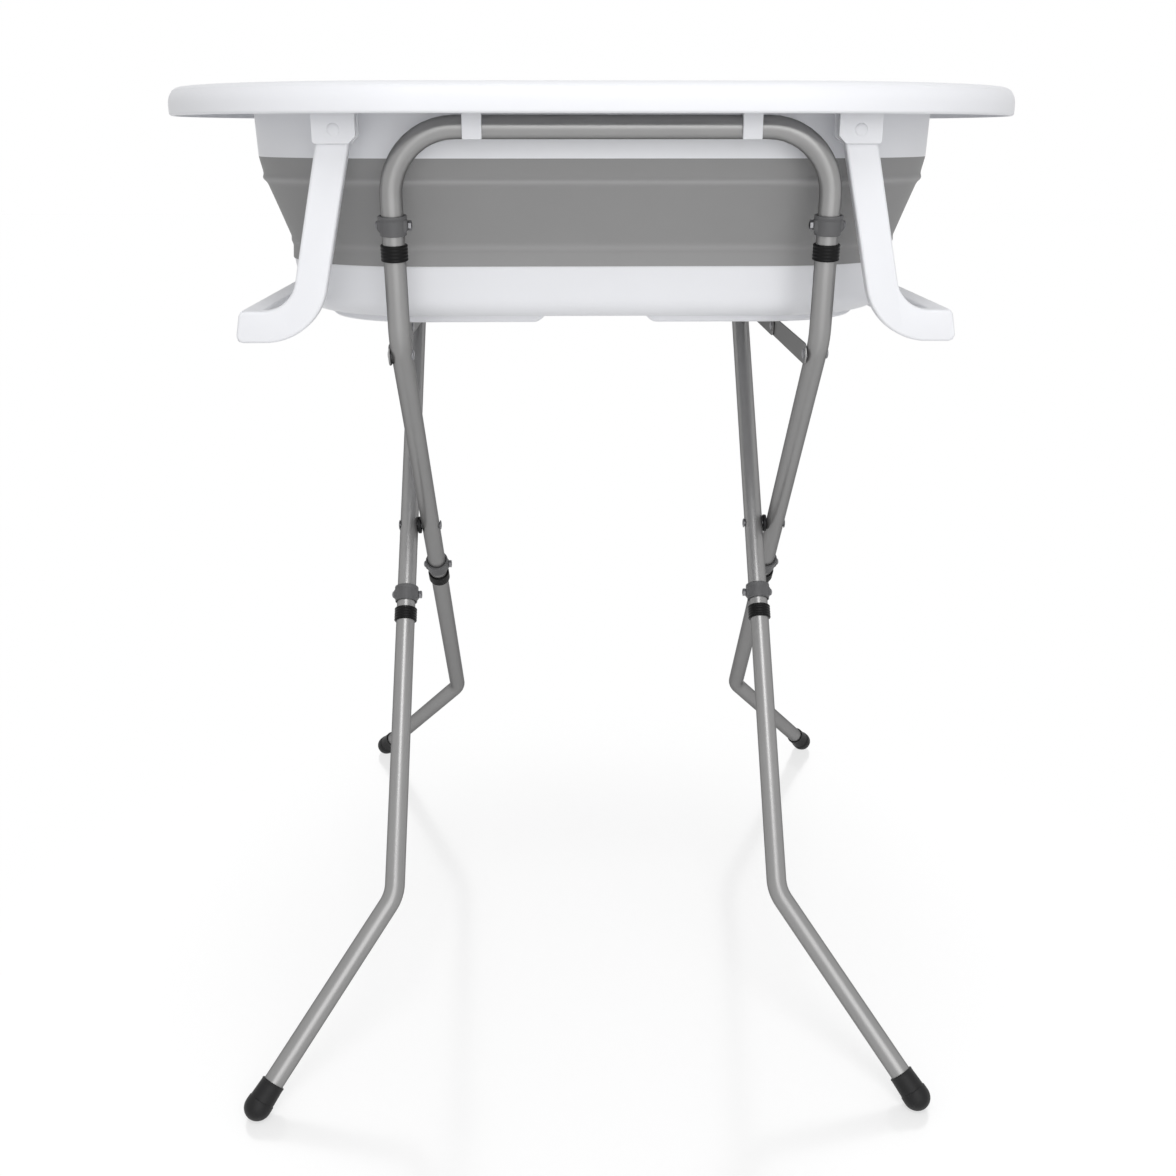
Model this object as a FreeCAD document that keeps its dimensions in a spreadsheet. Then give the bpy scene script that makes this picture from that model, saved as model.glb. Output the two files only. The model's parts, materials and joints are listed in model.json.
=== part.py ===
import FreeCAD, Part
import math
import os
import re

import Sketcher
from FreeCAD import Placement, Rotation, Vector

# A collapsible bathtub on a folding tube stand. Millimetres, +Z up, +X to the right along the tub,
# +Y away from the front. The origin is on the floor, under the middle of the tub.

SIZES = {
    # rim moulding: a lip with a turned-down edge, and the band that hangs from it
    "rim_length": 790,
    "rim_width": 512,
    "rim_end_flat": 12,
    "rim_height": 25,
    "rim_wall": 4,
    "rim_edge_round": 8,
    "rim_mouth_round": 3,
    "rim_over_bar": 10,
    "band_length": 636,
    "band_width": 366,
    "band_end_flat": 36,
    "band_depth": 60,
    "band_taper": 2,
    "band_wall": 4,
    # soft folding wall between the band and the base
    "wall_height": 91.4,
    "wall_thick": 3,
    # base pan with its foot ring and drain
    "base_inset": 106,
    "base_width": 304,
    "base_end_flat": 44,
    "base_height": 46.6,
    "base_draft": 8,
    "base_wall": 4,
    "base_round": 20,
    "ring_height": 7,
    "ring_thick": 12,
    "ring_inset": 26,
    "ring_gap": 89,
    "drain_radius": 19,
    "drain_inset": 99,
    "plug_clearance": 0.2,
    "plug_flange": 6,
    "plug_flange_thick": 3,
    "plug_knob_radius": 7,
    "plug_knob_height": 9,
    "plug_stem_drop": 3,
    # floor legs under the rim: two arms and a foot bar
    "leg_hinge_inset": 179,
    "leg_hinge_drop": 12,
    "leg_arm_side": 200,
    "leg_heel_inset": 37.8,
    "leg_arm_width": 27,
    "leg_arm_thick": 13,
    "leg_arm_drop": 160,
    "leg_arm_bend": 44,
    "leg_foot_run": 60.2,
    "leg_bar_width": 24,
    "leg_bar_height": 21,
    "bracket_length": 36,
    "bracket_cheek": 4,
    "bracket_gap": 0.5,
    "bracket_drop": 11,
    "bracket_round": 7,
    "pin_radius": 4,
    "pin_clearance": 0.05,
    "pin_cap_radius": 6,
    "pin_cap_thick": 1.5,
    # clips that hook the tub over the stand's top bars
    "clip_width": 16,
    "clip_inset": 69.7,
    "clip_wall": 3,
    "clip_gap": 0.3,
    "clip_front_drop": 9.5,
    "clip_back_rise": 4,
    # stand tubes
    "tube_diameter": 19,
    "tube_wall": 1.2,
    "spigot_gap": 0.1,
    "spigot_length": 42,
    "spigot_shoulder": 3,
    "stand_inset": 211.3,
    "leg_lean": 40.5,
    "top_lean": 6.3,
    "foot_rise": 154,
    "lower_leg_rise": 295,
    "upper_leg_rise": 223,
    "top_rise": 176,
    "top_bend": 55,
    "leg_bend": 38,
    "foot_bend": 38,
    "foot_spread_x": 116,
    "foot_spread_y": 119,
    "upper_seam_run": 76,
    "lower_seam_run": 102,
    # clamp bands, their bolts and nuts, and the collars over the tube seams
    "clamp_over_seam": 22.5,
    "clamp_height": 17,
    "clamp_radius": 11.6,
    "clamp_gap": 0.1,
    "clamp_ear_reach": 13.6,
    "clamp_ear_width": 11,
    "clamp_bolt_radius": 2.5,
    "clamp_bolt_clearance": 0.1,
    "clamp_head_radius": 4.2,
    "clamp_head_thick": 2.4,
    "clamp_nut_radius": 4.6,
    "clamp_nut_thick": 3,
    "collar_height": 16,
    "collar_radius": 11.4,
    "collar_edge": 1.2,
    # rubber foot caps
    "cap_round": 12.5,
    "cap_flat": 2,
    "cap_length": 24,
    "cap_mouth_radius": 11.3,
    # cross pivots
    "pivot_bolt_radius": 3,
    "pivot_clearance": 0.08,
    "pivot_side_gap": 0.3,
    "pivot_head_radius": 6,
    "pivot_head_thick": 3,
    "pivot_nut_radius": 6.4,
    "pivot_nut_thick": 5,
    "pivot_spacer_radius": 8,
    # spreader stays: two flat links a side
    "stay_rise": 209,
    "stay_thick": 1.4,
    "stay_width": 19,
    "stay_side_gap": 0.3,
    "stay_mid_gap": 0.4,
    "rivet_radius": 2.5,
    "rivet_clearance": 0.06,
    "rivet_head_radius": 4.6,
    "rivet_head_thick": 1.4,
    "rivet_head_gap": 0.1,
    # how far a cutting solid runs past what it cuts
    "overrun": 5,
}

# Soft wall: how high each outline lies between base and band, and how far it has spread to the band.
WALL_HEIGHT_SHARES = (0, 0.17, 0.52, 0.75, 0.79, 0.83, 1)
WALL_SPREAD_SHARES = (0.04, 0, 0.46, 0.77, 0.87, 0.87, 1)

doc = FreeCAD.newDocument("folding_bathtub")
sheet = doc.addObject("Spreadsheet::Sheet", "Sizes")
for row, (alias, number) in enumerate(SIZES.items(), start=1):
    sheet.set(f"A{row}", alias)
    sheet.set(f"B{row}", str(number))
    sheet.setAlias(f"B{row}", alias)
doc.recompute()

nodes = []


def formula(text):
    """The text with every size name turned into a reference to its cell."""
    return re.sub(r"[a-z][a-z_]+", lambda word: sheet_name(word.group(0)), text)


def sheet_name(word):
    return f"Sizes.{word}" if word in SIZES else word


def value(text):
    return float(sheet.evalExpression(formula(text)))


def bind(thing, prop, text):
    thing.setExpression(prop, formula(text))


def keep(thing, label):
    """Registers a finished sub-part under the name of its file."""
    thing.Label = label
    nodes.append(thing)
    return thing


def frame_of(origin, x_axis, z_axis):
    """Placement with its origin at a point and its X and Z along two square directions."""
    y_axis = z_axis.cross(x_axis)
    return Placement(origin, Rotation(x_axis, y_axis, z_axis, "ZXY"))


# Sketches and features


def sketch_on(body, role, lift="0"):
    plane = next(feature for feature in body.Origin.OriginFeatures if feature.Role == role)
    sketch = body.newObject("Sketcher::SketchObject", "Sketch")
    sketch.AttachmentSupport = [(plane, "")]
    sketch.MapMode = "FlatFace"
    sketch.AttachmentOffset = Placement(Vector(0, 0, value(lift)), Rotation())
    if lift != "0":
        bind(sketch, "AttachmentOffset.Base.z", lift)
    return sketch


def limit(sketch, kind, places, text):
    """Adds a dimension to a sketch and binds it to the sheet."""
    index = sketch.addConstraint(Sketcher.Constraint(kind, *places, value(text)))
    name = f"size_{index}"
    sketch.renameConstraint(index, name)
    bind(sketch, f"Constraints.{name}", text)


def pin_point(sketch, geometry, end, across, up):
    """Holds one point of a sketch at a place given by two formulas."""
    for kind, axis, text in (("DistanceX", -2, across), ("DistanceY", -1, up)):
        if text == "0":
            sketch.addConstraint(Sketcher.Constraint("PointOnObject", geometry, end, axis))
        else:
            limit(sketch, kind, (-1, 1, geometry, end), text)


def add_circle(sketch, radius, across="0", up="0"):
    centre = Vector(value(across), value(up), 0)
    circle = sketch.addGeometry(Part.Circle(centre, Vector(0, 0, 1), value(radius)))
    limit(sketch, "Radius", (circle,), radius)
    pin_point(sketch, circle, 3, across, up)


def add_polygon(sketch, corners):
    """A closed outline of straight lines through corners given as pairs of formulas."""
    places = [Vector(value(across), value(up), 0) for across, up in corners]
    lines = []
    for start, end in zip(places, places[1:] + places[:1]):
        lines.append(sketch.addGeometry(Part.LineSegment(start, end)))
    for line, after in zip(lines, lines[1:] + lines[:1]):
        sketch.addConstraint(Sketcher.Constraint("Coincident", line, 2, after, 1))
    for line, (across, up) in zip(lines, corners):
        pin_point(sketch, line, 1, across, up)


def rounded_outline(body, length, width, corner, lift="0"):
    """Sketch of a rectangle with round corners, centred over the body's origin."""
    sketch = sketch_on(body, "XY_Plane", lift)
    half_x, half_y, radius = value(length) / 2, value(width) / 2, value(corner)
    in_x, in_y = half_x - radius, half_y - radius
    sides = (
        (Vector(-in_x, -half_y, 0), Vector(in_x, -half_y, 0)),
        (Vector(half_x, -in_y, 0), Vector(half_x, in_y, 0)),
        (Vector(in_x, half_y, 0), Vector(-in_x, half_y, 0)),
        (Vector(-half_x, in_y, 0), Vector(-half_x, -in_y, 0)),
    )
    for start, end in sides:
        sketch.addGeometry(Part.LineSegment(start, end))
    centres = (
        Vector(in_x, -in_y, 0),
        Vector(in_x, in_y, 0),
        Vector(-in_x, in_y, 0),
        Vector(-in_x, -in_y, 0),
    )
    for quarter, centre in enumerate(centres, start=-1):
        circle = Part.Circle(centre, Vector(0, 0, 1), radius)
        turn = quarter * math.pi / 2
        sketch.addGeometry(Part.ArcOfCircle(circle, turn, turn + math.pi / 2))
    for side in range(4):
        sketch.addConstraint(Sketcher.Constraint("Tangent", side, 2, 4 + side, 1))
        sketch.addConstraint(Sketcher.Constraint("Tangent", 4 + side, 2, (side + 1) % 4, 1))
        sketch.addConstraint(Sketcher.Constraint("Vertical" if side % 2 else "Horizontal", side))
    for arc in (5, 6, 7):
        sketch.addConstraint(Sketcher.Constraint("Equal", 4, arc))
    sketch.addConstraint(Sketcher.Constraint("Symmetric", 4, 3, 6, 3, -1, 1))
    limit(sketch, "Radius", (4,), corner)
    limit(sketch, "DistanceX", (3, 1, 1, 1), length)
    limit(sketch, "DistanceY", (0, 1, 2, 1), width)
    return sketch


def bent_path(body, points, bend):
    """Sketch of straight runs joined by arcs, in the body's XZ plane, through corners given as formulas."""
    sketch = sketch_on(body, "XZ_Plane")
    places = [Vector(value(across), value(up), 0) for across, up in points]
    radius = value(bend)
    runs, arcs = [], []
    start = places[0]
    for before, corner, after in zip(places, places[1:], places[2:]):
        come = (corner - before).normalize()
        leave = (after - corner).normalize()
        turn = come.getAngle(leave)
        back = radius * math.tan(turn / 2)
        first, last = corner - come * back, corner + leave * back
        inward = (leave - come).normalize()
        middle = corner + inward * (radius / math.cos(turn / 2) - radius)
        runs.append(sketch.addGeometry(Part.LineSegment(start, first)))
        arcs.append(sketch.addGeometry(Part.Arc(first, middle, last)))
        start = last
    runs.append(sketch.addGeometry(Part.LineSegment(start, places[-1])))
    for number, arc in enumerate(arcs):
        end_of_run = (runs[number], 2)
        start_of_next = (runs[number + 1], 1)
        corner = places[number + 1]
        arc_start = sketch.getPoint(arc, 1)
        ends = (1, 2) if (arc_start - sketch.getPoint(*end_of_run)).Length < radius / 1000 else (2, 1)
        sketch.addConstraint(Sketcher.Constraint("Tangent", *end_of_run, arc, ends[0]))
        sketch.addConstraint(Sketcher.Constraint("Tangent", arc, ends[1], *start_of_next))
        limit(sketch, "Radius", (arc,), bend)
        vertex = sketch.addGeometry(Part.Point(corner))
        sketch.toggleConstruction(vertex)
        pin_point(sketch, vertex, 1, *points[number + 1])
        sketch.addConstraint(Sketcher.Constraint("PointOnObject", vertex, 1, runs[number]))
        sketch.addConstraint(Sketcher.Constraint("PointOnObject", vertex, 1, runs[number + 1]))
    pin_point(sketch, runs[0], 1, *points[0])
    pin_point(sketch, runs[-1], 2, *points[-1])
    return sketch


def feature(body, kind, **properties):
    made = body.newObject(f"PartDesign::{kind}", kind)
    for name, setting in properties.items():
        setattr(made, name, setting)
    return made


def pad(body, sketch, length, down=False):
    made = feature(body, "Pad", Profile=sketch, Reversed=down)
    bind(made, "Length", length)
    return made


def pocket(body, sketch, length, up=False):
    made = feature(body, "Pocket", Profile=sketch, Reversed=up)
    bind(made, "Length", length)
    return made


def loft(body, outlines, cuts=False):
    kind = "SubtractiveLoft" if cuts else "AdditiveLoft"
    return feature(body, kind, Profile=outlines[0], Sections=outlines[1:], Ruled=True)


def fillet(body, base, radius, wanted):
    """Rounds the edges of the last feature that a test picks out by their corners."""
    doc.recompute()
    names = []
    for number, edge in enumerate(base.Shape.Edges, start=1):
        if all(wanted(vertex.Point) for vertex in edge.Vertexes):
            names.append(f"Edge{number}")
    made = feature(body, "Fillet", Base=(base, names))
    bind(made, "Radius", radius)
    return made


def new_body(name):
    return doc.addObject("PartDesign::Body", name)


def near_to(first, second):
    return abs(first - second) < value("overrun") / 1000


# Solids from primitives


def primitive(kind, place, **sizes):
    made = doc.addObject(f"Part::{kind}", kind)
    for prop, text in sizes.items():
        bind(made, prop, text)
    made.Placement = place
    return made


def along_x(point):
    """Placement that turns a solid's Z to +X."""
    return frame_of(point, Vector(0, 1, 0), Vector(1, 0, 0))


def along_y(point):
    """Placement that turns a solid's Z to +Y."""
    return frame_of(point, Vector(0, 0, 1), Vector(0, 1, 0))


def fused(pieces):
    made = doc.addObject("Part::MultiFuse", "Fused")
    made.Shapes = pieces
    made.Refine = True
    return made


def cut_from(base, tools):
    made = doc.addObject("Part::Cut", "Cut")
    made.Base = base
    made.Tool = tools[0] if len(tools) == 1 else fused(tools)
    return made


def grouped(pieces):
    made = doc.addObject("Part::Compound", "Group")
    made.Links = pieces
    return made


# Heights and places that follow from the sizes

LEAN = value("leg_lean")
TOP_LEAN = value("top_lean")
LEG_DOWN = Vector(0, math.sin(math.radians(LEAN)), -math.cos(math.radians(LEAN)))
TOP_UP = Vector(0, -math.sin(math.radians(TOP_LEAN)), math.cos(math.radians(TOP_LEAN)))
PIVOT_HEIGHT = "(foot_rise + lower_leg_rise)"
BAR_HEIGHT = f"({PIVOT_HEIGHT} + upper_leg_rise + top_rise)"
BAR_SIDE = "(upper_leg_rise * tan(leg_lean) + top_rise * tan(top_lean))"
RIM_BOTTOM = f"({BAR_HEIGHT} + rim_over_bar)"
BAND_BOTTOM = f"({RIM_BOTTOM} + rim_height - band_depth)"
BASE_TOP = f"({BAND_BOTTOM} - wall_height)"
BASE_BOTTOM = f"({BASE_TOP} - base_height)"
STAY_GAP = "(2 * stay_thick + 2 * stay_side_gap + stay_mid_gap)"
FRAME_OFFSET = f"((tube_diameter + {STAY_GAP}) / 2)"
TOP_RUN = "(top_rise / cos(top_lean))"
UPPER_LEG_RUN = "(upper_leg_rise / cos(leg_lean))"
LOWER_LEG_RUN = "(lower_leg_rise / cos(leg_lean))"
CAP_CENTRE = "(cap_round - cap_flat)"
RIM_CORNER = "((rim_width - rim_end_flat) / 2)"
BAND_CORNER = "((band_width - band_end_flat) / 2)"
BASE_CORNER = "((base_width - base_end_flat) / 2)"
BASE_LENGTH = "(rim_length - 2 * base_inset)"
DRAIN_OFFSET = f"({BASE_LENGTH} / 2 - drain_inset)"
HINGE_REACH = "(rim_length / 2 - leg_hinge_inset)"
HEEL_REACH = f"({BASE_LENGTH} / 2 - leg_heel_inset - {HINGE_REACH})"
ARM_RUN = f"sqrt({HEEL_REACH} ^ 2 + leg_arm_drop ^ 2)"
HALF_SPACING = "(rim_length / 2 - stand_inset)"
CLIP_HALF_SPACING = f"({HALF_SPACING} - clip_inset)"


# Tub: rim, soft wall, base and plug


def make_rim():
    body = new_body("rim")
    lip = pad(body, rounded_outline(body, "rim_length", "rim_width", RIM_CORNER), "rim_height")
    top = value("rim_height")
    fillet(body, lip, "rim_edge_round", lambda point: near_to(point.z, top))
    inner_edge = ("rim_length - 2 * rim_wall", "rim_width - 2 * rim_wall", f"{RIM_CORNER} - rim_wall")
    pocket(body, rounded_outline(body, *inner_edge), "rim_height - rim_wall", up=True)
    bottom = "rim_height - band_depth"
    outlines = []
    for taper, lift in (("0", "rim_height"), ("band_taper", bottom)):
        size = (f"band_length - 2 * {taper}", f"band_width - 2 * {taper}", f"{BAND_CORNER} - {taper}")
        outlines.append(rounded_outline(body, *size, lift))
    loft(body, outlines)
    openings = []
    for taper, lift in (("0", "rim_height + overrun"), ("band_taper", bottom)):
        inset = f"2 * (band_wall + {taper})"
        size = (f"band_length - {inset}", f"band_width - {inset}", f"{BAND_CORNER} - band_wall - {taper}")
        openings.append(rounded_outline(body, *size, lift))
    mouth = loft(body, openings, cuts=True)
    reach = value("band_length / 2")
    fillet(body, mouth, "rim_mouth_round", lambda point: near_to(point.z, top) and abs(point.x) < reach)
    body.Placement.Base.z = value(RIM_BOTTOM)
    keep(body, "rim")


def wall_outlines(body, inset):
    """Outlines of the soft wall from the base up to the band, drawn in by an inset."""
    outlines = []
    for height_share, spread_share in zip(WALL_HEIGHT_SHARES, WALL_SPREAD_SHARES):
        size = []
        for low, high in ((BASE_LENGTH, "band_length"), ("base_width", "band_width")):
            size.append(f"{low} + {spread_share} * ({high} - 2 * band_taper - {low}) - 2 * {inset}")
        size.append(f"{BASE_CORNER} + {spread_share} * ({BAND_CORNER} - band_taper - {BASE_CORNER}) - {inset}")
        outlines.append(rounded_outline(body, *size, f"{height_share} * wall_height"))
    return outlines


def make_wall():
    body = new_body("folding_wall")
    loft(body, wall_outlines(body, "0"))
    loft(body, wall_outlines(body, "wall_thick"), cuts=True)
    body.Placement.Base.z = value(BASE_TOP)
    keep(body, "folding_wall")


def make_base():
    body = new_body("base_pan")
    outlines = []
    for draft, lift in (("base_draft", "0"), ("0", "base_height")):
        size = (f"{BASE_LENGTH} - 2 * {draft}", f"base_width - 2 * {draft}", f"{BASE_CORNER} - {draft}")
        outlines.append(rounded_outline(body, *size, lift))
    loft(body, outlines)
    hollows = []
    slope = "base_draft * base_wall / base_height"
    for draft, lift in ((f"(base_draft - {slope})", "base_wall"), ("0", "base_height")):
        inset = f"2 * (base_wall + {draft})"
        size = (f"{BASE_LENGTH} - {inset}", f"base_width - {inset}", f"{BASE_CORNER} - base_wall - {draft}")
        hollows.append(rounded_outline(body, *size, lift))
    hollow = loft(body, hollows, cuts=True)
    floor = value("base_wall")
    shell = fillet(body, hollow, "base_round - base_wall", lambda point: near_to(point.z, floor))
    fillet(body, shell, "base_round", lambda point: near_to(point.z, 0))
    ring = (f"{BASE_LENGTH} - 2 * (base_draft + ring_inset)", "base_width - 2 * (base_draft + ring_inset)",
            f"{BASE_CORNER} - base_draft - ring_inset")
    pad(body, rounded_outline(body, *ring), "ring_height", down=True)
    inner = [f"{size} - 2 * ring_thick" for size in ring[:2]] + [f"{ring[2]} - ring_thick"]
    pocket(body, rounded_outline(body, *inner, "-ring_height"), "ring_height", up=True)
    gap = sketch_on(body, "XY_Plane", "-ring_height")
    add_polygon(gap, [
        ("-ring_gap / 2", "-base_width / 2"),
        ("ring_gap / 2", "-base_width / 2"),
        ("ring_gap / 2", "base_width / 2"),
        ("-ring_gap / 2", "base_width / 2"),
    ])
    pocket(body, gap, "ring_height", up=True)
    drain = sketch_on(body, "XY_Plane")
    add_circle(drain, "drain_radius", DRAIN_OFFSET)
    pocket(body, drain, "base_wall + overrun", up=True)
    body.Placement.Base.z = value(BASE_BOTTOM)
    keep(body, "base_pan")


def make_plug():
    body = new_body("drain_plug")
    profile = sketch_on(body, "XZ_Plane")
    stem = "drain_radius - plug_clearance"
    flange = "drain_radius + plug_flange"
    add_polygon(profile, [
        ("0", "-base_wall - plug_stem_drop"),
        (f"{stem} - plug_stem_drop / 2", "-base_wall - plug_stem_drop"),
        (stem, "-base_wall"),
        (stem, "0"),
        (flange, "0"),
        (flange, "plug_flange_thick / 2"),
        (f"{flange} - plug_flange_thick / 2", "plug_flange_thick"),
        ("plug_knob_radius", "plug_flange_thick"),
        ("plug_knob_radius", "plug_flange_thick + plug_knob_height - plug_knob_radius / 4"),
        ("plug_knob_radius * 3 / 4", "plug_flange_thick + plug_knob_height"),
        ("0", "plug_flange_thick + plug_knob_height"),
    ])
    axis = next(line for line in body.Origin.OriginFeatures if line.Role == "Z_Axis")
    feature(body, "Revolution", Profile=profile, ReferenceAxis=(axis, [""]))
    body.Placement.Base = Vector(value(DRAIN_OFFSET), 0, value(f"{BASE_BOTTOM} + base_wall"))
    keep(body, "drain_plug")


# Floor legs with their brackets and pins, and the clips over the bars

SIDES = (("right", 1), ("left", -1))
ENDS = (("near", -1), ("far", 1))
HINGE_HEIGHT = f"({RIM_BOTTOM} - leg_hinge_drop)"


def hinge_point(side, end):
    return Vector(side * value(HINGE_REACH), end * value("leg_arm_side"), value(HINGE_HEIGHT))


def leg_arm(side, end):
    """One J-shaped arm: a flat bar swept from the hinge down and round to the foot."""
    body = new_body("leg_arm")
    points = [
        ("0", "0"),
        ("0", f"-{ARM_RUN}"),
        (f"leg_foot_run * leg_arm_drop / {ARM_RUN}", f"-{ARM_RUN} - leg_foot_run * {HEEL_REACH} / {ARM_RUN}"),
    ]
    path = bent_path(body, points, "leg_arm_bend")
    section = sketch_on(body, "XY_Plane")
    half_width, half_thick = "leg_arm_width / 2", "leg_arm_thick / 2"
    add_polygon(section, [
        (f"-{half_width}", f"-{half_thick}"),
        (half_width, f"-{half_thick}"),
        (half_width, half_thick),
        (f"-{half_width}", half_thick),
    ])
    feature(body, "AdditivePipe", Profile=section, Spine=path)
    lean = math.atan2(value(HEEL_REACH), value("leg_arm_drop"))
    up = Vector(-side * math.sin(lean), 0, math.cos(lean))
    out = Vector(side * math.cos(lean), 0, math.sin(lean))
    body.Placement = frame_of(hinge_point(side, end), out, up)
    return body


def make_floor_leg(name, side):
    pieces = []
    bores = []
    for _, end in ENDS:
        hinge = hinge_point(side, end)
        pieces.append(leg_arm(side, end))
        face = hinge - Vector(0, value("leg_arm_thick / 2"), 0)
        eye = {"Radius": "leg_arm_width / 2", "Height": "leg_arm_thick"}
        pieces.append(primitive("Cylinder", along_y(face), **eye))
        start = face - Vector(0, value("overrun"), 0)
        bore = {"Radius": "pin_radius + pin_clearance", "Height": "leg_arm_thick + 2 * overrun"}
        bores.append(primitive("Cylinder", along_y(start), **bore))
    foot_height = value(f"{HINGE_HEIGHT} - leg_arm_drop")
    tip = value(f"{BASE_LENGTH} / 2 - leg_heel_inset + leg_foot_run")
    low = tip - value("leg_bar_width") if side > 0 else -tip
    corner = Vector(low, -value("leg_arm_side"), foot_height - value("leg_arm_width / 2"))
    bar = {"Length": "leg_bar_width", "Width": "2 * leg_arm_side", "Height": "leg_bar_height"}
    pieces.append(primitive("Box", Placement(corner, Rotation()), **bar))
    keep(cut_from(fused(pieces), bores), f"{name}_floor_leg")


def make_bracket(name, side, end):
    """A block under the rim, slotted for the arm's eye and bored for the pin."""
    body = new_body("leg_bracket")
    thick = "(leg_arm_thick + 2 * bracket_gap + 2 * bracket_cheek)"
    height = "(leg_hinge_drop + bracket_drop + rim_height - rim_wall)"
    face = sketch_on(body, "XZ_Plane", f"-{thick} / 2")
    add_polygon(face, [
        ("-bracket_length / 2", "-bracket_drop"),
        ("bracket_length / 2", "-bracket_drop"),
        ("bracket_length / 2", f"{height} - bracket_drop"),
        ("-bracket_length / 2", f"{height} - bracket_drop"),
    ])
    block = pad(body, face, thick)
    foot = -value("bracket_drop")
    reach = value("bracket_length / 2") * -side
    wanted = lambda point: near_to(point.x, reach) and near_to(point.z, foot)
    fillet(body, block, "bracket_round", wanted)
    slot_half = "(leg_arm_thick / 2 + bracket_gap)"
    slot = sketch_on(body, "YZ_Plane", "-bracket_length / 2 - overrun")
    add_polygon(slot, [
        (f"-{slot_half}", "-bracket_drop - overrun"),
        (slot_half, "-bracket_drop - overrun"),
        (slot_half, "leg_arm_width / 2 + bracket_gap"),
        (f"-{slot_half}", "leg_arm_width / 2 + bracket_gap"),
    ])
    pocket(body, slot, "bracket_length + 2 * overrun", up=True)
    bore = sketch_on(body, "XZ_Plane", f"-{thick} / 2 - overrun")
    add_circle(bore, "pin_radius")
    pocket(body, bore, f"{thick} + 2 * overrun", up=True)
    body.Placement.Base = hinge_point(side, end)
    keep(body, f"{name}_leg_bracket")


def hinge_pin(side, end):
    """A pin through the bracket's cheeks with a round cap on the outer face."""
    half = "(leg_arm_thick / 2 + bracket_gap + bracket_cheek)"
    hinge = hinge_point(side, end)
    inner = hinge - Vector(0, end * value(half), 0)
    outer = hinge + Vector(0, end * value(half), 0)
    out = frame_of(inner, Vector(1, 0, 0), Vector(0, end, 0))
    shank = primitive("Cylinder", out, Radius="pin_radius", Height=f"2 * {half}")
    seat = frame_of(outer, Vector(1, 0, 0), Vector(0, end, 0))
    cap = {"Radius1": "pin_cap_radius", "Radius2": "pin_cap_radius - pin_cap_thick / 2"}
    head = primitive("Cone", seat, **cap, Height="pin_cap_thick")
    return fused([shank, head])


def make_clip(name, side, end):
    """A hook over the top bar: a long front leg, a short back leg and a half-round seat."""
    body = new_body("bar_clip")
    seat = "(tube_diameter / 2 + clip_gap)"
    roof = "(rim_over_bar + rim_height - rim_wall)"
    profile = sketch_on(body, "YZ_Plane", "-clip_width / 2")
    add_polygon(profile, [
        (f"-{seat} - clip_wall", "-clip_front_drop"),
        (f"-{seat}", "-clip_front_drop"),
        (f"-{seat}", "clip_back_rise"),
        (seat, "clip_back_rise"),
        (f"{seat} + clip_wall", "clip_back_rise"),
        (f"{seat} + clip_wall", roof),
        (f"-{seat} - clip_wall", roof),
    ])
    pad(body, profile, "clip_width")
    bore = sketch_on(body, "YZ_Plane", "-clip_width / 2 - overrun")
    add_circle(bore, seat)
    pocket(body, bore, "clip_width + 2 * overrun", up=True)
    across = side * value(CLIP_HALF_SPACING) - end * value(FRAME_OFFSET)
    place = Vector(across, end * value(BAR_SIDE), value(BAR_HEIGHT))
    body.Placement = frame_of(place, Vector(-end, 0, 0), Vector(0, 0, 1))
    keep(body, f"{name}_bar_clip")


def make_tub():
    make_rim()
    make_wall()
    make_base()
    make_plug()
    pins = []
    for side_name, side in SIDES:
        make_floor_leg(side_name, side)
        for end_name, end in ENDS:
            name = f"{end_name}_{side_name}"
            make_bracket(name, side, end)
            make_clip(name, side, end)
            pins.append(hinge_pin(side, end))
    keep(grouped(pins), "leg_hinge_pins")


# Stand: two alike frames, the far one turned half round


def tube_body(points, bend, spigot):
    """A round tube along a bent path, with a necked spigot above its start where it plugs in."""
    body = new_body("tube")
    path = bent_path(body, points, bend)
    across, lift = points[0]
    ring = sketch_on(body, "XY_Plane", lift)
    add_circle(ring, "tube_diameter / 2", across)
    add_circle(ring, "tube_diameter / 2 - tube_wall", across)
    feature(body, "AdditivePipe", Profile=ring, Spine=path)
    if spigot:
        outer = "tube_diameter / 2 - tube_wall - spigot_gap"
        shoulder = sketch_on(body, "XY_Plane", f"{lift} - spigot_shoulder")
        add_circle(shoulder, "tube_diameter / 2 - tube_wall / 2")
        add_circle(shoulder, f"{outer} - tube_wall")
        pad(body, shoulder, "spigot_shoulder")
        neck = sketch_on(body, "XY_Plane", lift)
        add_circle(neck, outer)
        add_circle(neck, f"{outer} - tube_wall")
        pad(body, neck, "spigot_length")
    return body


def cross_hole(point, radius):
    """A cylinder along X that drills right through a tube."""
    half = "tube_diameter / 2 + overrun"
    start = point - Vector(value(half), 0, 0)
    return primitive("Cylinder", along_x(start), Radius=radius, Height=f"2 * ({half})")


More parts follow.
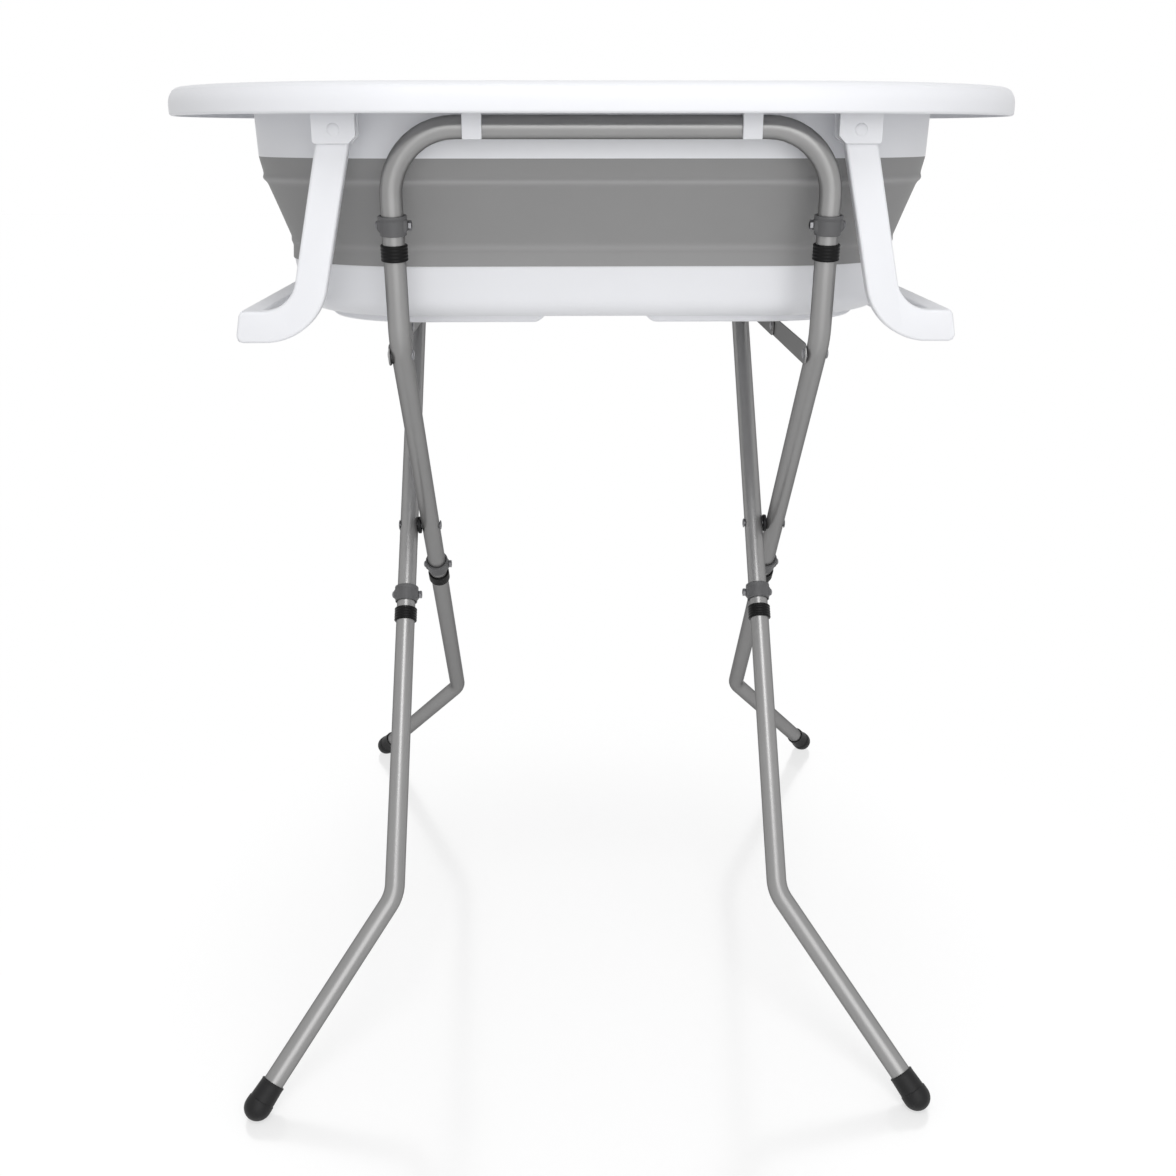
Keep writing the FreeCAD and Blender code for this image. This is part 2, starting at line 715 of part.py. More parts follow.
def clamp_band(place):
    """A band round the tube with a flat ear on each side for the bolt's head and nut."""
    body = new_body("clamp")
    ring = sketch_on(body, "XY_Plane", "-clamp_height / 2")
    add_circle(ring, "clamp_radius")
    pad(body, ring, "clamp_height")
    ear_height = "(clamp_height * 3 / 4)"
    ears = sketch_on(body, "XY_Plane", f"-{ear_height} / 2")
    add_polygon(ears, [
        ("-clamp_ear_reach", "-clamp_ear_width / 2"),
        ("clamp_ear_reach", "-clamp_ear_width / 2"),
        ("clamp_ear_reach", "clamp_ear_width / 2"),
        ("-clamp_ear_reach", "clamp_ear_width / 2"),
    ])
    pad(body, ears, ear_height)
    bore = sketch_on(body, "XY_Plane", "-clamp_height / 2 - overrun")
    add_circle(bore, "tube_diameter / 2 + clamp_gap")
    pocket(body, bore, "clamp_height + 2 * overrun", up=True)
    hole = sketch_on(body, "YZ_Plane", "-clamp_ear_reach - overrun")
    add_circle(hole, "clamp_bolt_radius + clamp_bolt_clearance")
    pocket(body, hole, "2 * (clamp_ear_reach + overrun)", up=True)
    body.Placement = place
    return body


def clamp_bolt(place, side):
    """A bolt through the clamp's ears, its head outward."""
    centre = place.Base
    turn = Vector(side, 0, 0)
    start = frame_of(centre - turn * value("clamp_ear_reach + clamp_nut_thick"), Vector(0, 1, 0), turn)
    length = "2 * clamp_ear_reach + clamp_nut_thick"
    shank = primitive("Cylinder", start, Radius="clamp_bolt_radius", Height=length)
    seat = frame_of(centre + turn * value("clamp_ear_reach"), Vector(0, 1, 0), turn)
    head = {"Radius1": "clamp_head_radius", "Radius2": "clamp_head_radius - clamp_head_thick / 2"}
    return fused([shank, primitive("Cone", seat, **head, Height="clamp_head_thick")])


def hex_nut(seat, radius, thick, bore):
    body = primitive("Prism", seat, Circumradius=radius, Height=thick)
    body.Polygon = 6
    hole = primitive("Cylinder", seat, Radius=bore, Height=thick)
    return cut_from(body, [hole])


def clamp_nut(place, side):
    turn = Vector(-side, 0, 0)
    seat = frame_of(place.Base + turn * value("clamp_ear_reach"), Vector(0, 1, 0), turn)
    return hex_nut(seat, "clamp_nut_radius", "clamp_nut_thick", "clamp_bolt_radius")


def seam_collar(place):
    """A plastic sleeve over the seam of two tubes, its outer edges bevelled."""
    body = new_body("collar")
    profile = sketch_on(body, "XZ_Plane")
    bore = "tube_diameter / 2 + clamp_gap"
    half = "collar_height / 2"
    add_polygon(profile, [
        (bore, f"-{half}"),
        ("collar_radius - collar_edge", f"-{half}"),
        ("collar_radius", f"-{half} + collar_edge"),
        ("collar_radius", f"{half} - collar_edge"),
        ("collar_radius - collar_edge", half),
        (bore, half),
    ])
    axis = next(line for line in body.Origin.OriginFeatures if line.Role == "Z_Axis")
    feature(body, "Revolution", Profile=profile, ReferenceAxis=(axis, [""]))
    body.Placement = place
    return body


def foot_cap(place):
    """A rubber cap: a round end, a slightly tapered sleeve and a flat worn level with the floor."""
    ball = primitive("Sphere", place, Radius="cap_round")
    sleeve = primitive("Cone", place, Radius1="cap_round", Radius2="cap_mouth_radius", Height="cap_length")
    bore_radius = "tube_diameter / 2 + clamp_gap"
    bore = primitive("Cylinder", place, Radius=bore_radius, Height="cap_length + overrun")
    reach = value("cap_round + overrun")
    corner = Vector(place.Base.x - reach, place.Base.y - reach, -reach)
    below = {"Length": "2 * (cap_round + overrun)", "Width": "2 * (cap_round + overrun)"}
    floor = primitive("Box", Placement(corner, Rotation()), **below, Height="cap_round + overrun")
    return cut_from(fused([ball, sleeve]), [bore, floor])


def rivet(inner, length, side):
    """A rivet along X from an inner face outward, with a domed head at each end."""
    turn = Vector(side, 0, 0)
    across = Vector(0, 1, 0)
    shank = primitive("Cylinder", frame_of(inner, across, turn), Radius="rivet_radius", Height=length)
    heads = []
    for base, facing in ((inner, -turn), (inner + turn * value(length), turn)):
        cone = {"Radius1": "rivet_head_radius", "Radius2": "rivet_head_radius - rivet_head_thick / 2"}
        heads.append(primitive("Cone", frame_of(base, across, facing), **cone, Height="rivet_head_thick"))
    return fused([shank] + heads)


def make_frame(name, end):
    """One frame of the stand. The far one is the near one turned half round about Z."""
    turned = Placement(Vector(0, 0, 0), Rotation(Vector(0, 0, 1), 0 if end < 0 else 180))
    offset = value(FRAME_OFFSET)
    pivot = Vector(offset, 0, value(PIVOT_HEIGHT))
    upper_bend = pivot - LEG_DOWN * value(UPPER_LEG_RUN)
    lower_bend = pivot + LEG_DOWN * value(LOWER_LEG_RUN)
    half = value(HALF_SPACING)
    x_axis = Vector(1, 0, 0)

    def place(point, x_direction, z_direction):
        return turned.multiply(frame_of(point, x_direction, z_direction))

    def holes(points, radius):
        return [cross_hole(turned.multVec(point), radius) for point in points]

    bolt_hole = "clamp_bolt_radius + clamp_bolt_clearance"
    upper_clamp = upper_bend + TOP_UP * value("upper_seam_run + clamp_over_seam")
    lower_clamp = pivot + LEG_DOWN * value("lower_seam_run - clamp_over_seam")
    sides = [(side, Vector(side * half, 0, 0)) for _, side in SIDES]

    top = tube_body([
        (HALF_SPACING, "upper_seam_run"),
        (HALF_SPACING, TOP_RUN),
        (f"-{HALF_SPACING}", TOP_RUN),
        (f"-{HALF_SPACING}", "upper_seam_run"),
    ], "top_bend", spigot=False)
    top.Placement = place(upper_bend, x_axis, TOP_UP)
    top_holes = holes([upper_clamp + shift for _, shift in sides], bolt_hole)
    keep(cut_from(top, top_holes), f"{name}_top_tube")

    bolts, nuts, rivets = [], [], []
    for side, shift in sides:
        world_side = side * -end
        label = f"{name}_{'right' if world_side > 0 else 'left'}"

        leg_turn = "(leg_lean - top_lean)"
        leg_run = f"({UPPER_LEG_RUN} + lower_seam_run)"
        leg = tube_body([
            ("0", "upper_seam_run"),
            ("0", "0"),
            (f"{leg_run} * sin({leg_turn})", f"-{leg_run} * cos({leg_turn})"),
        ], "leg_bend", spigot=True)
        backward = Vector(0, TOP_UP.z, -TOP_UP.y)
        leg.Placement = place(upper_bend + shift, backward, TOP_UP)
        drilled = holes([upper_clamp + shift, lower_clamp + shift], bolt_hole)
        drilled += holes([pivot + shift], "pivot_bolt_radius + pivot_clearance")
        stay_end = pivot - LEG_DOWN * value("stay_rise / cos(leg_lean)") + shift
        drilled += holes([stay_end], "rivet_radius + rivet_clearance")
        keep(cut_from(leg, drilled), f"{label}_leg_tube")

        foot_way = Vector(side * value("foot_spread_x"), value("foot_spread_y"),
                          -value(f"foot_rise - {CAP_CENTRE}"))
        along = f"(foot_spread_y * sin(leg_lean) + (foot_rise - {CAP_CENTRE}) * cos(leg_lean))"
        squares = f"foot_spread_x^2 + foot_spread_y^2 + (foot_rise - {CAP_CENTRE})^2"
        foot = tube_body([
            ("0", f"{LOWER_LEG_RUN} - lower_seam_run"),
            ("0", "0"),
            (f"sqrt({squares} - {along}^2)", f"-{along}"),
        ], "foot_bend", spigot=True)
        across = (foot_way - LEG_DOWN * foot_way.dot(LEG_DOWN)).normalize()
        foot.Placement = place(lower_bend + shift, across, -LEG_DOWN)
        keep(cut_from(foot, holes([lower_clamp + shift], bolt_hole)), f"{label}_foot_tube")

        cap_way = (foot_way * -1).normalize()
        cap_across = cap_way.cross(x_axis).normalize()
        keep(foot_cap(place(lower_bend + shift + foot_way, cap_across, cap_way)), f"{label}_foot_cap")

        joints = (
            ("upper", upper_clamp + shift, TOP_UP),
            ("lower", lower_clamp + shift, LEG_DOWN * -1),
        )
        for level, centre, up in joints:
            spot = place(centre, x_axis, up)
            keep(clamp_band(spot), f"{label}_{level}_clamp")
            seam = place(centre - up * value("clamp_over_seam"), x_axis, up)
            keep(seam_collar(seam), f"{label}_{level}_collar")
            bolts.append(clamp_bolt(spot, world_side))
            nuts.append(clamp_nut(spot, world_side))

        rivets.append(stay_rivet(turned.multVec(stay_end), world_side, end))
    keep(grouped(bolts), f"{name}_clamp_bolts")
    keep(grouped(nuts), f"{name}_clamp_nuts")
    keep(grouped(rivets), f"{name}_stay_rivets")


def stay_rivet(centre, side, end):
    """Rivet of a stay in a leg. On the far frame its inner end stops flush with the leg."""
    facing = Vector(-end, 0, 0)
    radius = "tube_diameter / 2"
    if end < 0:
        grip = f"({radius} + stay_side_gap + stay_thick + rivet_head_gap)"
        inner = centre - facing * value(grip)
        return rivet(inner, f"{grip} + {radius}", -end)
    inner = centre - facing * value(radius)
    across = Vector(0, 1, 0)
    start = frame_of(inner, across, facing)
    shank = primitive("Cylinder", start, Radius="rivet_radius", Height="tube_diameter")
    seat = frame_of(centre + facing * value(radius), across, facing)
    cone = {"Radius1": "rivet_head_radius", "Radius2": "rivet_head_radius - rivet_head_thick / 2"}
    return fused([shank, primitive("Cone", seat, **cone, Height="rivet_head_thick")])


# Cross pivots and spreader stays between the frames


def make_pivots():
    bolts, nuts, spacers = [], [], []
    reach = f"({FRAME_OFFSET} + tube_diameter / 2 + pivot_side_gap)"
    bore = "pivot_bolt_radius + pivot_clearance"
    across = Vector(0, 1, 0)
    for _, side in SIDES:
        out = Vector(side, 0, 0)
        middle = Vector(side * value(HALF_SPACING), 0, value(PIVOT_HEIGHT))
        inner = middle - out * value(reach)
        outer = middle + out * value(reach)
        length = f"2 * {reach} + pivot_nut_thick"
        start = frame_of(inner - out * value("pivot_nut_thick"), across, out)
        shank = primitive("Cylinder", start, Radius="pivot_bolt_radius", Height=length)
        cone = {"Radius1": "pivot_head_radius", "Radius2": "pivot_head_radius - pivot_head_thick / 2"}
        head = primitive("Cone", frame_of(outer, across, out), **cone, Height="pivot_head_thick")
        bolts.append(fused([shank, head]))
        nut_seat = frame_of(inner, across, out * -1)
        nuts.append(hex_nut(nut_seat, "pivot_nut_radius", "pivot_nut_thick", "pivot_bolt_radius"))
        thick = f"({STAY_GAP} - 2 * pivot_side_gap)"
        face = frame_of(middle - out * value(f"{thick} / 2"), across, out)
        disc = primitive("Cylinder", face, Radius="pivot_spacer_radius", Height=thick)
        spacers.append(cut_from(disc, [primitive("Cylinder", face, Radius=bore, Height=thick)]))
    keep(grouped(bolts), "cross_pivot_bolts")
    keep(grouped(nuts), "cross_pivot_nuts")
    keep(grouped(spacers), "cross_pivot_spacers")


STAY_HALF = "(stay_rise * tan(leg_lean))"
STAY_HEIGHT = f"({PIVOT_HEIGHT} + stay_rise)"
LINK_SHIFT = "((stay_thick + stay_mid_gap) / 2)"


def stay_link(side, end):
    """A flat link with round ends and two holes, from the middle of the stay to a leg."""
    body = new_body("stay_link")
    half = "stay_width / 2"
    outline = sketch_on(body, "YZ_Plane", "-stay_thick / 2")
    add_polygon(outline, [("0", f"-{half}"), (STAY_HALF, f"-{half}"), (STAY_HALF, half), ("0", half)])
    pad(body, outline, "stay_thick")
    for place in ("0", STAY_HALF):
        tip = sketch_on(body, "YZ_Plane", "-stay_thick / 2")
        add_circle(tip, half, place)
        pad(body, tip, "stay_thick")
    for place in ("0", STAY_HALF):
        hole = sketch_on(body, "YZ_Plane", "-stay_thick / 2 - overrun")
        add_circle(hole, "rivet_radius + rivet_clearance", place)
        pocket(body, hole, "stay_thick + 2 * overrun", up=True)
    across = side * value(HALF_SPACING) - end * value(LINK_SHIFT)
    middle = Vector(across, 0, value(STAY_HEIGHT))
    body.Placement = frame_of(middle, Vector(end, 0, 0), Vector(0, 0, 1))
    return body


def make_stays():
    middles, stubs = [], []
    stack = "(2 * stay_thick + stay_mid_gap + 2 * rivet_head_gap)"
    across = Vector(0, 1, 0)
    facing = Vector(1, 0, 0)
    cone = {"Radius1": "rivet_head_radius", "Radius2": "rivet_head_radius - rivet_head_thick / 2"}
    for side_name, side in SIDES:
        for end_name, end in ENDS:
            keep(stay_link(side, end), f"{end_name}_{side_name}_stay_link")
        centre = Vector(side * value(HALF_SPACING), 0, value(STAY_HEIGHT))
        middles.append(rivet(centre - facing * value(f"{stack} / 2"), stack, 1))
        far_face = centre + Vector(-value(f"{LINK_SHIFT} + stay_thick / 2"), value(STAY_HALF), 0)
        seat = frame_of(far_face, across, facing)
        shank = primitive("Cylinder", seat, Radius="rivet_radius", Height="stay_thick")
        head_seat = frame_of(far_face + facing * value("stay_thick"), across, facing)
        stubs.append(fused([shank, primitive("Cone", head_seat, **cone, Height="rivet_head_thick")]))
    keep(grouped(middles), "stay_middle_rivets")
    keep(grouped(stubs), "stay_end_rivets")


make_tub()
for frame_name, frame_end in ENDS:
    make_frame(frame_name, frame_end)
make_pivots()
make_stays()
doc.recompute()

for thing in doc.Objects:
    if {"Invalid", "Error"} & set(thing.State):
        raise RuntimeError(f"{thing.Label} failed: {thing.State}")
os.makedirs("parts", exist_ok=True)
for thing in nodes:
    shape = thing.Shape
    if shape.isNull() or not shape.isValid() or not shape.Solids:
        raise RuntimeError(f"{thing.Label} has no valid solid")
for thing in nodes:
    thing.Shape.exportStep(f"parts/{thing.Label}.step")
    box = thing.Shape.BoundBox
    spans = f"{box.XMin:.1f}..{box.XMax:.1f}  {box.YMin:.1f}..{box.YMax:.1f}  {box.ZMin:.1f}..{box.ZMax:.1f}"
    print(f"{thing.Label:28s} {len(thing.Shape.Solids)} solids  {thing.Shape.Volume:10.0f} mm3  {spans}")
print(len(nodes), "nodes")
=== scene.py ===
import json
import math

import bmesh
import bpy
import numpy as np
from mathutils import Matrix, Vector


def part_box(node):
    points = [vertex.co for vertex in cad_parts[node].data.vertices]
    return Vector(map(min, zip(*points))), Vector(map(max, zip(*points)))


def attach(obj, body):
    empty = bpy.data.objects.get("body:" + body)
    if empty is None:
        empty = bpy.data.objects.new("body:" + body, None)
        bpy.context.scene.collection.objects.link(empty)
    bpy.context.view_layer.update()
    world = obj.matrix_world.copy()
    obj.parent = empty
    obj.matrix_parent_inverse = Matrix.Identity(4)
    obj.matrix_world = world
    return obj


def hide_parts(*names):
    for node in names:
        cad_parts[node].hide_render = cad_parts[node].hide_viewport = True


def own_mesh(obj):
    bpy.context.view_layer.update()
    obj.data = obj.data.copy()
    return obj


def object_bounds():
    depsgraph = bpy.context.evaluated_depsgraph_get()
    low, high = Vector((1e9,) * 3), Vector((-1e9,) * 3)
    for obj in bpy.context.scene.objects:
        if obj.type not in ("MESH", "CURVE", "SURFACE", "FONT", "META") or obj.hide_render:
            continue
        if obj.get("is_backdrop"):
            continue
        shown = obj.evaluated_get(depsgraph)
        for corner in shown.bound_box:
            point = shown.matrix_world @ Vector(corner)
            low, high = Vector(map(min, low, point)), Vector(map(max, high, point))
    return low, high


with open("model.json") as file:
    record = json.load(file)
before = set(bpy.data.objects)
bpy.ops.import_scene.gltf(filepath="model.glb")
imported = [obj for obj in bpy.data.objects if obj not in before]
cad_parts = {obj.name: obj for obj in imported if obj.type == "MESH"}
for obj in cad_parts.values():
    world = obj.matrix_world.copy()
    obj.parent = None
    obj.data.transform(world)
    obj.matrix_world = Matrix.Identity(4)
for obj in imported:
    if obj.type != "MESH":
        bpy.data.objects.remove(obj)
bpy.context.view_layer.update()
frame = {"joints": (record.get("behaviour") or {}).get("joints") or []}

# Stand tubes. Each of the two frames is 19 mm steel tube, bent cold and painted silver grey: a top tube
# bent to a U, two leg tubes and two foot tubes that turn outwards near the floor. The far frame is the
# near one turned half round, so its points are the near frame's with X and Y reversed.
FRAMES = (("near", 1), ("far", -1))
TUBE_RADIUS = 0.0095
LEG_LEAN = math.radians(40.5)
TOP_LEAN = math.radians(6.3)
TOP_BEND = 0.055
LEG_BEND = 0.038
LOWER_LEG_RISE = 0.295
UPPER_LEG_RISE = 0.223
TOP_RISE = 0.176
UPPER_SEAM_RUN = 0.076
LOWER_SEAM_RUN = 0.102
FOOT_SPREAD = (0.116, 0.119)
CAP_ROUND = 0.0125
CAP_FLAT = 0.002
ACROSS = np.array([1.0, 0.0, 0.0])
LEG_DOWN = np.array([0, math.sin(LEG_LEAN), -math.cos(LEG_LEAN)])
TOP_UP = np.array([0, -math.sin(TOP_LEAN), math.cos(TOP_LEAN)])
SILVER_PAINT = (0.297, 0.295, 0.294)
PAINT_EDGE_TINT = (0.12, 0.12, 0.12)
PATCH_DETAIL = 4
SHEEN_DRIFT = 0.12
# A colour mix's sockets: its share, its two colours and its result.
MIX_SHARE, MIX_FIRST, MIX_SECOND, MIX_RESULT = 0, 6, 7, 2

joint_at = {joint["name"]: joint for joint in frame["joints"]}
pivot_height = joint_at["near_frame_fold"]["pos_m"][2]


def middle_of(node):
    """The centre of a node's box."""
    low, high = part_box(node)
    return np.array(low + high) / 2


def bent_line(corners, bend, steps=12):
    """Straight runs joined by arcs: at each corner a point goes back along the incoming way by
    bend * tan(half the turn) and then round the arc, cosine one way and sine the other."""
    corners = np.asarray(corners, float)
    ways = np.diff(corners, axis=0)
    ways /= np.linalg.norm(ways, axis=1)[:, None]
    share = np.linspace(0, 1, steps)[:, None]
    stretches = [corners[:1]]
    for corner, come, leave in zip(corners[1:-1], ways, ways[1:]):
        turn = math.acos(np.clip(come @ leave, -1, 1))
        inward = leave - come * math.cos(turn)
        inward /= np.linalg.norm(inward)
        start = corner - come * bend * math.tan(turn / 2)
        stretches.append(start + bend * (np.sin(turn * share) * come + (1 - np.cos(turn * share)) * inward))
    stretches.append(corners[-1:])
    return np.concatenate(stretches)


def circle(radius, sides=40):
    """Points (radius * cosine, radius * sine) once round."""
    angle = np.linspace(0, 2 * math.pi, sides, endpoint=False)
    return radius * np.stack([np.cos(angle), np.sin(angle)], axis=1)


def carried(section, path, normal):
    """A section of (u, v) points carried along a path: each point is path + u * side + v * normal,
    where side is square to the path's own direction and to the normal."""
    way = np.gradient(path, axis=0)
    way /= np.linalg.norm(way, axis=1)[:, None]
    side = np.cross(way, normal)
    side /= np.linalg.norm(side, axis=1)[:, None]
    lift = np.cross(side, way)
    return path[:, None] + section[None, :, :1] * side[:, None] + section[None, :, 1:] * lift[:, None]


def skin(grid, loop=False):
    """Points and faces of a grid whose rows close on themselves. The last row joins the first where
    loop is true, and otherwise the first and last rows are filled."""
    rows, columns = grid.shape[:2]
    index = np.arange(rows * columns).reshape(rows, columns)
    here = index if loop else index[:-1]
    ahead = np.roll(index, -1, axis=0) if loop else index[1:]
    corners = [here, np.roll(here, -1, axis=1), np.roll(ahead, -1, axis=1), ahead]
    faces = np.stack(corners, axis=-1).reshape(-1, 4).tolist()
    if not loop:
        faces += [index[0, ::-1].tolist(), index[-1].tolist()]
    return grid.reshape(-1, 3), faces


def make_piece(name, skins, material, crease=35):
    """One object from one or more skins, shaded smooth except across edges sharper than the crease."""
    points, faces, count = [], [], 0
    for vertices, polygons in skins:
        points.append(vertices)
        faces += [[corner + count for corner in polygon] for polygon in polygons]
        count += len(vertices)
    mesh = bpy.data.meshes.new(name)
    mesh.from_pydata(np.concatenate(points).tolist(), [], faces)
    shell = bmesh.new()
    shell.from_mesh(mesh)
    bmesh.ops.recalc_face_normals(shell, faces=shell.faces[:])
    shell.to_mesh(mesh)
    shell.free()
    mesh.polygons.foreach_set("use_smooth", np.ones(len(mesh.polygons), bool))
    mesh.set_sharp_from_angle(angle=math.radians(crease))
    mesh.materials.append(material)
    piece = bpy.data.objects.new(name, mesh)
    bpy.context.scene.collection.objects.link(piece)
    return piece


def fit(piece, body, slot, *nodes):
    """The piece moves with a body and stands for these nodes. The slot is not used."""
    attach(piece, body)
    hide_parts(*nodes)


def finish_of(name, colour, roughness, metal=0.0, gloss=0.5, drift=0.03, patch=0.06, grain=0.0012,
              depth=0.00004):
    """A finish whose colour and roughness drift in broad patches, with a fine grain that lifts the
    surface by a depth. Patch and grain are lengths, so each noise runs at one over its length."""
    material = bpy.data.materials.new(name)
    material.use_nodes = True
    nodes, links = material.node_tree.nodes, material.node_tree.links
    shader = nodes["Principled BSDF"]
    shader.inputs["Metallic"].default_value = metal
    shader.inputs["Specular IOR Level"].default_value = gloss
    place = nodes.new("ShaderNodeTexCoord")
    cloud = nodes.new("ShaderNodeTexNoise")
    cloud.inputs["Scale"].default_value = 1 / patch
    cloud.inputs["Detail"].default_value = PATCH_DETAIL
    links.new(place.outputs["Object"], cloud.inputs["Vector"])
    tint = nodes.new("ShaderNodeMix")
    tint.data_type = "RGBA"
    tint.inputs[MIX_FIRST].default_value = (*[channel * (1 - drift) for channel in colour], 1)
    tint.inputs[MIX_SECOND].default_value = (*[min(1, channel * (1 + drift)) for channel in colour], 1)
    links.new(cloud.outputs["Fac"], tint.inputs[MIX_SHARE])
    links.new(tint.outputs[MIX_RESULT], shader.inputs["Base Color"])
    sheen = nodes.new("ShaderNodeMapRange")
    sheen.inputs["To Min"].default_value = roughness * (1 - SHEEN_DRIFT)
    sheen.inputs["To Max"].default_value = roughness * (1 + SHEEN_DRIFT)
    links.new(cloud.outputs["Fac"], sheen.inputs["Value"])
    links.new(sheen.outputs["Result"], shader.inputs["Roughness"])
    speck = nodes.new("ShaderNodeTexNoise")
    speck.inputs["Scale"].default_value = 1 / grain
    links.new(place.outputs["Object"], speck.inputs["Vector"])
    bump = nodes.new("ShaderNodeBump")
    bump.inputs["Distance"].default_value = depth
    links.new(speck.outputs["Fac"], bump.inputs["Height"])
    links.new(bump.outputs["Normal"], shader.inputs["Normal"])
    return material


silver_paint = finish_of("silver_paint", SILVER_PAINT, roughness=0.32, metal=0.65, gloss=0.3, drift=0.05,
                         patch=0.03, grain=0.0008, depth=0.00001)
paint_shader = silver_paint.node_tree.nodes["Principled BSDF"]
paint_shader.inputs["Specular Tint"].default_value = (*PAINT_EDGE_TINT, 1)
frame_shift = (middle_of("near_right_leg_tube")[0] + middle_of("near_left_leg_tube")[0]) / 2
leg_half = middle_of("near_right_leg_tube")[0] - frame_shift
pivot = np.array([frame_shift, 0, pivot_height])
upper_bend = pivot - LEG_DOWN * UPPER_LEG_RISE / math.cos(LEG_LEAN)
lower_bend = pivot + LEG_DOWN * LOWER_LEG_RISE / math.cos(LEG_LEAN)
upper_seam = upper_bend + TOP_UP * UPPER_SEAM_RUN
lower_seam = pivot + LEG_DOWN * LOWER_SEAM_RUN
top_corner = upper_bend + TOP_UP * TOP_RISE / math.cos(TOP_LEAN)
foot_drop = CAP_ROUND - CAP_FLAT - lower_bend[2]


def foot_way(side):
    """From the lower bend to the middle of the cap's round end."""
    return np.array([side * FOOT_SPREAD[0], FOOT_SPREAD[1], foot_drop])


def turned_round(points, turn):
    """The near frame's points, or with X and Y reversed the far frame's."""
    return points * np.array([turn, turn, 1])


def side_of(side, turn):
    """The name of a side, which swaps where the frame is turned round."""
    return "right" if side * turn > 0 else "left"


def painted_tube(node, body, corners, bend, normal, turn):
    """A round section carried along a bent line, painted and fitted to its frame."""
    path = turned_round(bent_line(corners, bend), turn)
    tube = skin(carried(circle(TUBE_RADIUS), path, turned_round(normal, turn)))
    fit(make_piece(f"{node}_painted", [tube], silver_paint, crease=60), body, "tube_paint", node)


for name, turn in FRAMES:
    body = f"{name}_frame"
    half = ACROSS * leg_half
    top_corners = [upper_seam + half, top_corner + half, top_corner - half, upper_seam - half]
    painted_tube(f"{name}_top_tube", body, top_corners, TOP_BEND, np.cross(ACROSS, TOP_UP), turn)
    for side in (1, -1):
        label = f"{name}_{side_of(side, turn)}"
        shift = half * side
        leg_corners = np.array([upper_seam, upper_bend, lower_seam]) + shift
        painted_tube(f"{label}_leg_tube", body, leg_corners, LEG_BEND, ACROSS, turn)
        foot_corners = np.array([lower_seam, lower_bend, lower_bend + foot_way(side)]) + shift
        foot_normal = np.cross(LEG_DOWN, foot_way(side))
        painted_tube(f"{label}_foot_tube", body, foot_corners, LEG_BEND, foot_normal, turn)


# Foot caps. Black rubber boots pushed over the tube ends: a tapered sleeve with a rounded lip, a fine step,
# and a round toe that is worn flat where it stands on the floor.
CAP_LENGTH = 0.024
CAP_MOUTH = 0.0113
CAP_LIP = 0.001
CAP_STEP_HEIGHT = 0.006
CAP_STEP = 0.0004
CAP_BLACK = (0.009, 0.009, 0.0095)


def arc(centre, radius, start, end, steps=10):
    """Points on a circle of a radius about a centre, from one angle to another, in degrees."""
    angle = np.radians(np.linspace(start, end, steps))
    return np.asarray(centre) + radius * np.stack([np.cos(angle), np.sin(angle)], axis=1)


def spun(profile, centre, axis, sides=48):
    """A profile of (radius, height) pairs spun about an axis through a centre: each point goes to
    centre + radius * (cosine * first + sine * second) + height * axis."""
    profile = np.asarray(profile, float)
    axis = np.asarray(axis, float) / np.linalg.norm(axis)
    first = np.cross(axis, np.eye(3)[np.argmin(np.abs(axis))])
    first /= np.linalg.norm(first)
    ring = circle(1, sides) @ np.stack([first, np.cross(axis, first)])
    return np.asarray(centre) + profile[:, None, :1] * ring[None] + profile[:, None, 1:] * axis


cap_rubber = finish_of("cap_rubber", CAP_BLACK, roughness=0.5, gloss=0.25, drift=0.18, patch=0.012,
                       grain=0.0006, depth=0.00008)
cap_waist = CAP_ROUND - 2 * CAP_STEP
cap_profile = np.concatenate([
    arc((0, 0), CAP_ROUND, -88, 0, 14),
    [(CAP_ROUND, CAP_STEP_HEIGHT / 3), (CAP_ROUND - CAP_STEP / 3, CAP_STEP_HEIGHT - CAP_STEP)],
    [(CAP_ROUND - CAP_STEP, CAP_STEP_HEIGHT), (cap_waist, CAP_STEP_HEIGHT + CAP_STEP / 2)],
    [(CAP_MOUTH - CAP_STEP / 2, CAP_LENGTH - 4 * CAP_LIP)],
    arc((CAP_MOUTH - CAP_LIP, CAP_LENGTH - CAP_LIP), CAP_LIP, -40, 90, 8),
    [(TUBE_RADIUS, CAP_LENGTH - CAP_LIP / 4), (TUBE_RADIUS, CAP_LENGTH - 2 * CAP_LIP)],
])
for name, turn in FRAMES:
    for side in (1, -1):
        node = f"{name}_{side_of(side, turn)}_foot_cap"
        toe = turned_round(lower_bend + ACROSS * leg_half * side + foot_way(side), turn)
        boot = spun(cap_profile, toe, -turned_round(foot_way(side), turn))
        boot[..., 2] = np.maximum(boot[..., 2], 0)
        fit(make_piece(f"{node}_boot", [skin(boot)], cap_rubber), f"{name}_frame", "foot_rubber", node)


# Seam collars. Short black plastic sleeves that hide the seams where one tube plugs into the next, with
# rounded edges and fine ribs for the fingers.
COLLAR_HALF = 0.0069
COLLAR_RADIUS = 0.0116
COLLAR_EDGE = 0.0012
COLLAR_RIB = 0.0003
COLLAR_RIBS = 4
COLLAR_BLACK = (0.004, 0.004, 0.0043)
SEAMS = (("upper", upper_seam, TOP_UP), ("lower", lower_seam, -LEG_DOWN))

collar_plastic = finish_of("collar_plastic", COLLAR_BLACK, roughness=0.42, gloss=0.15, drift=0.2,
                           patch=0.01, grain=0.0008)
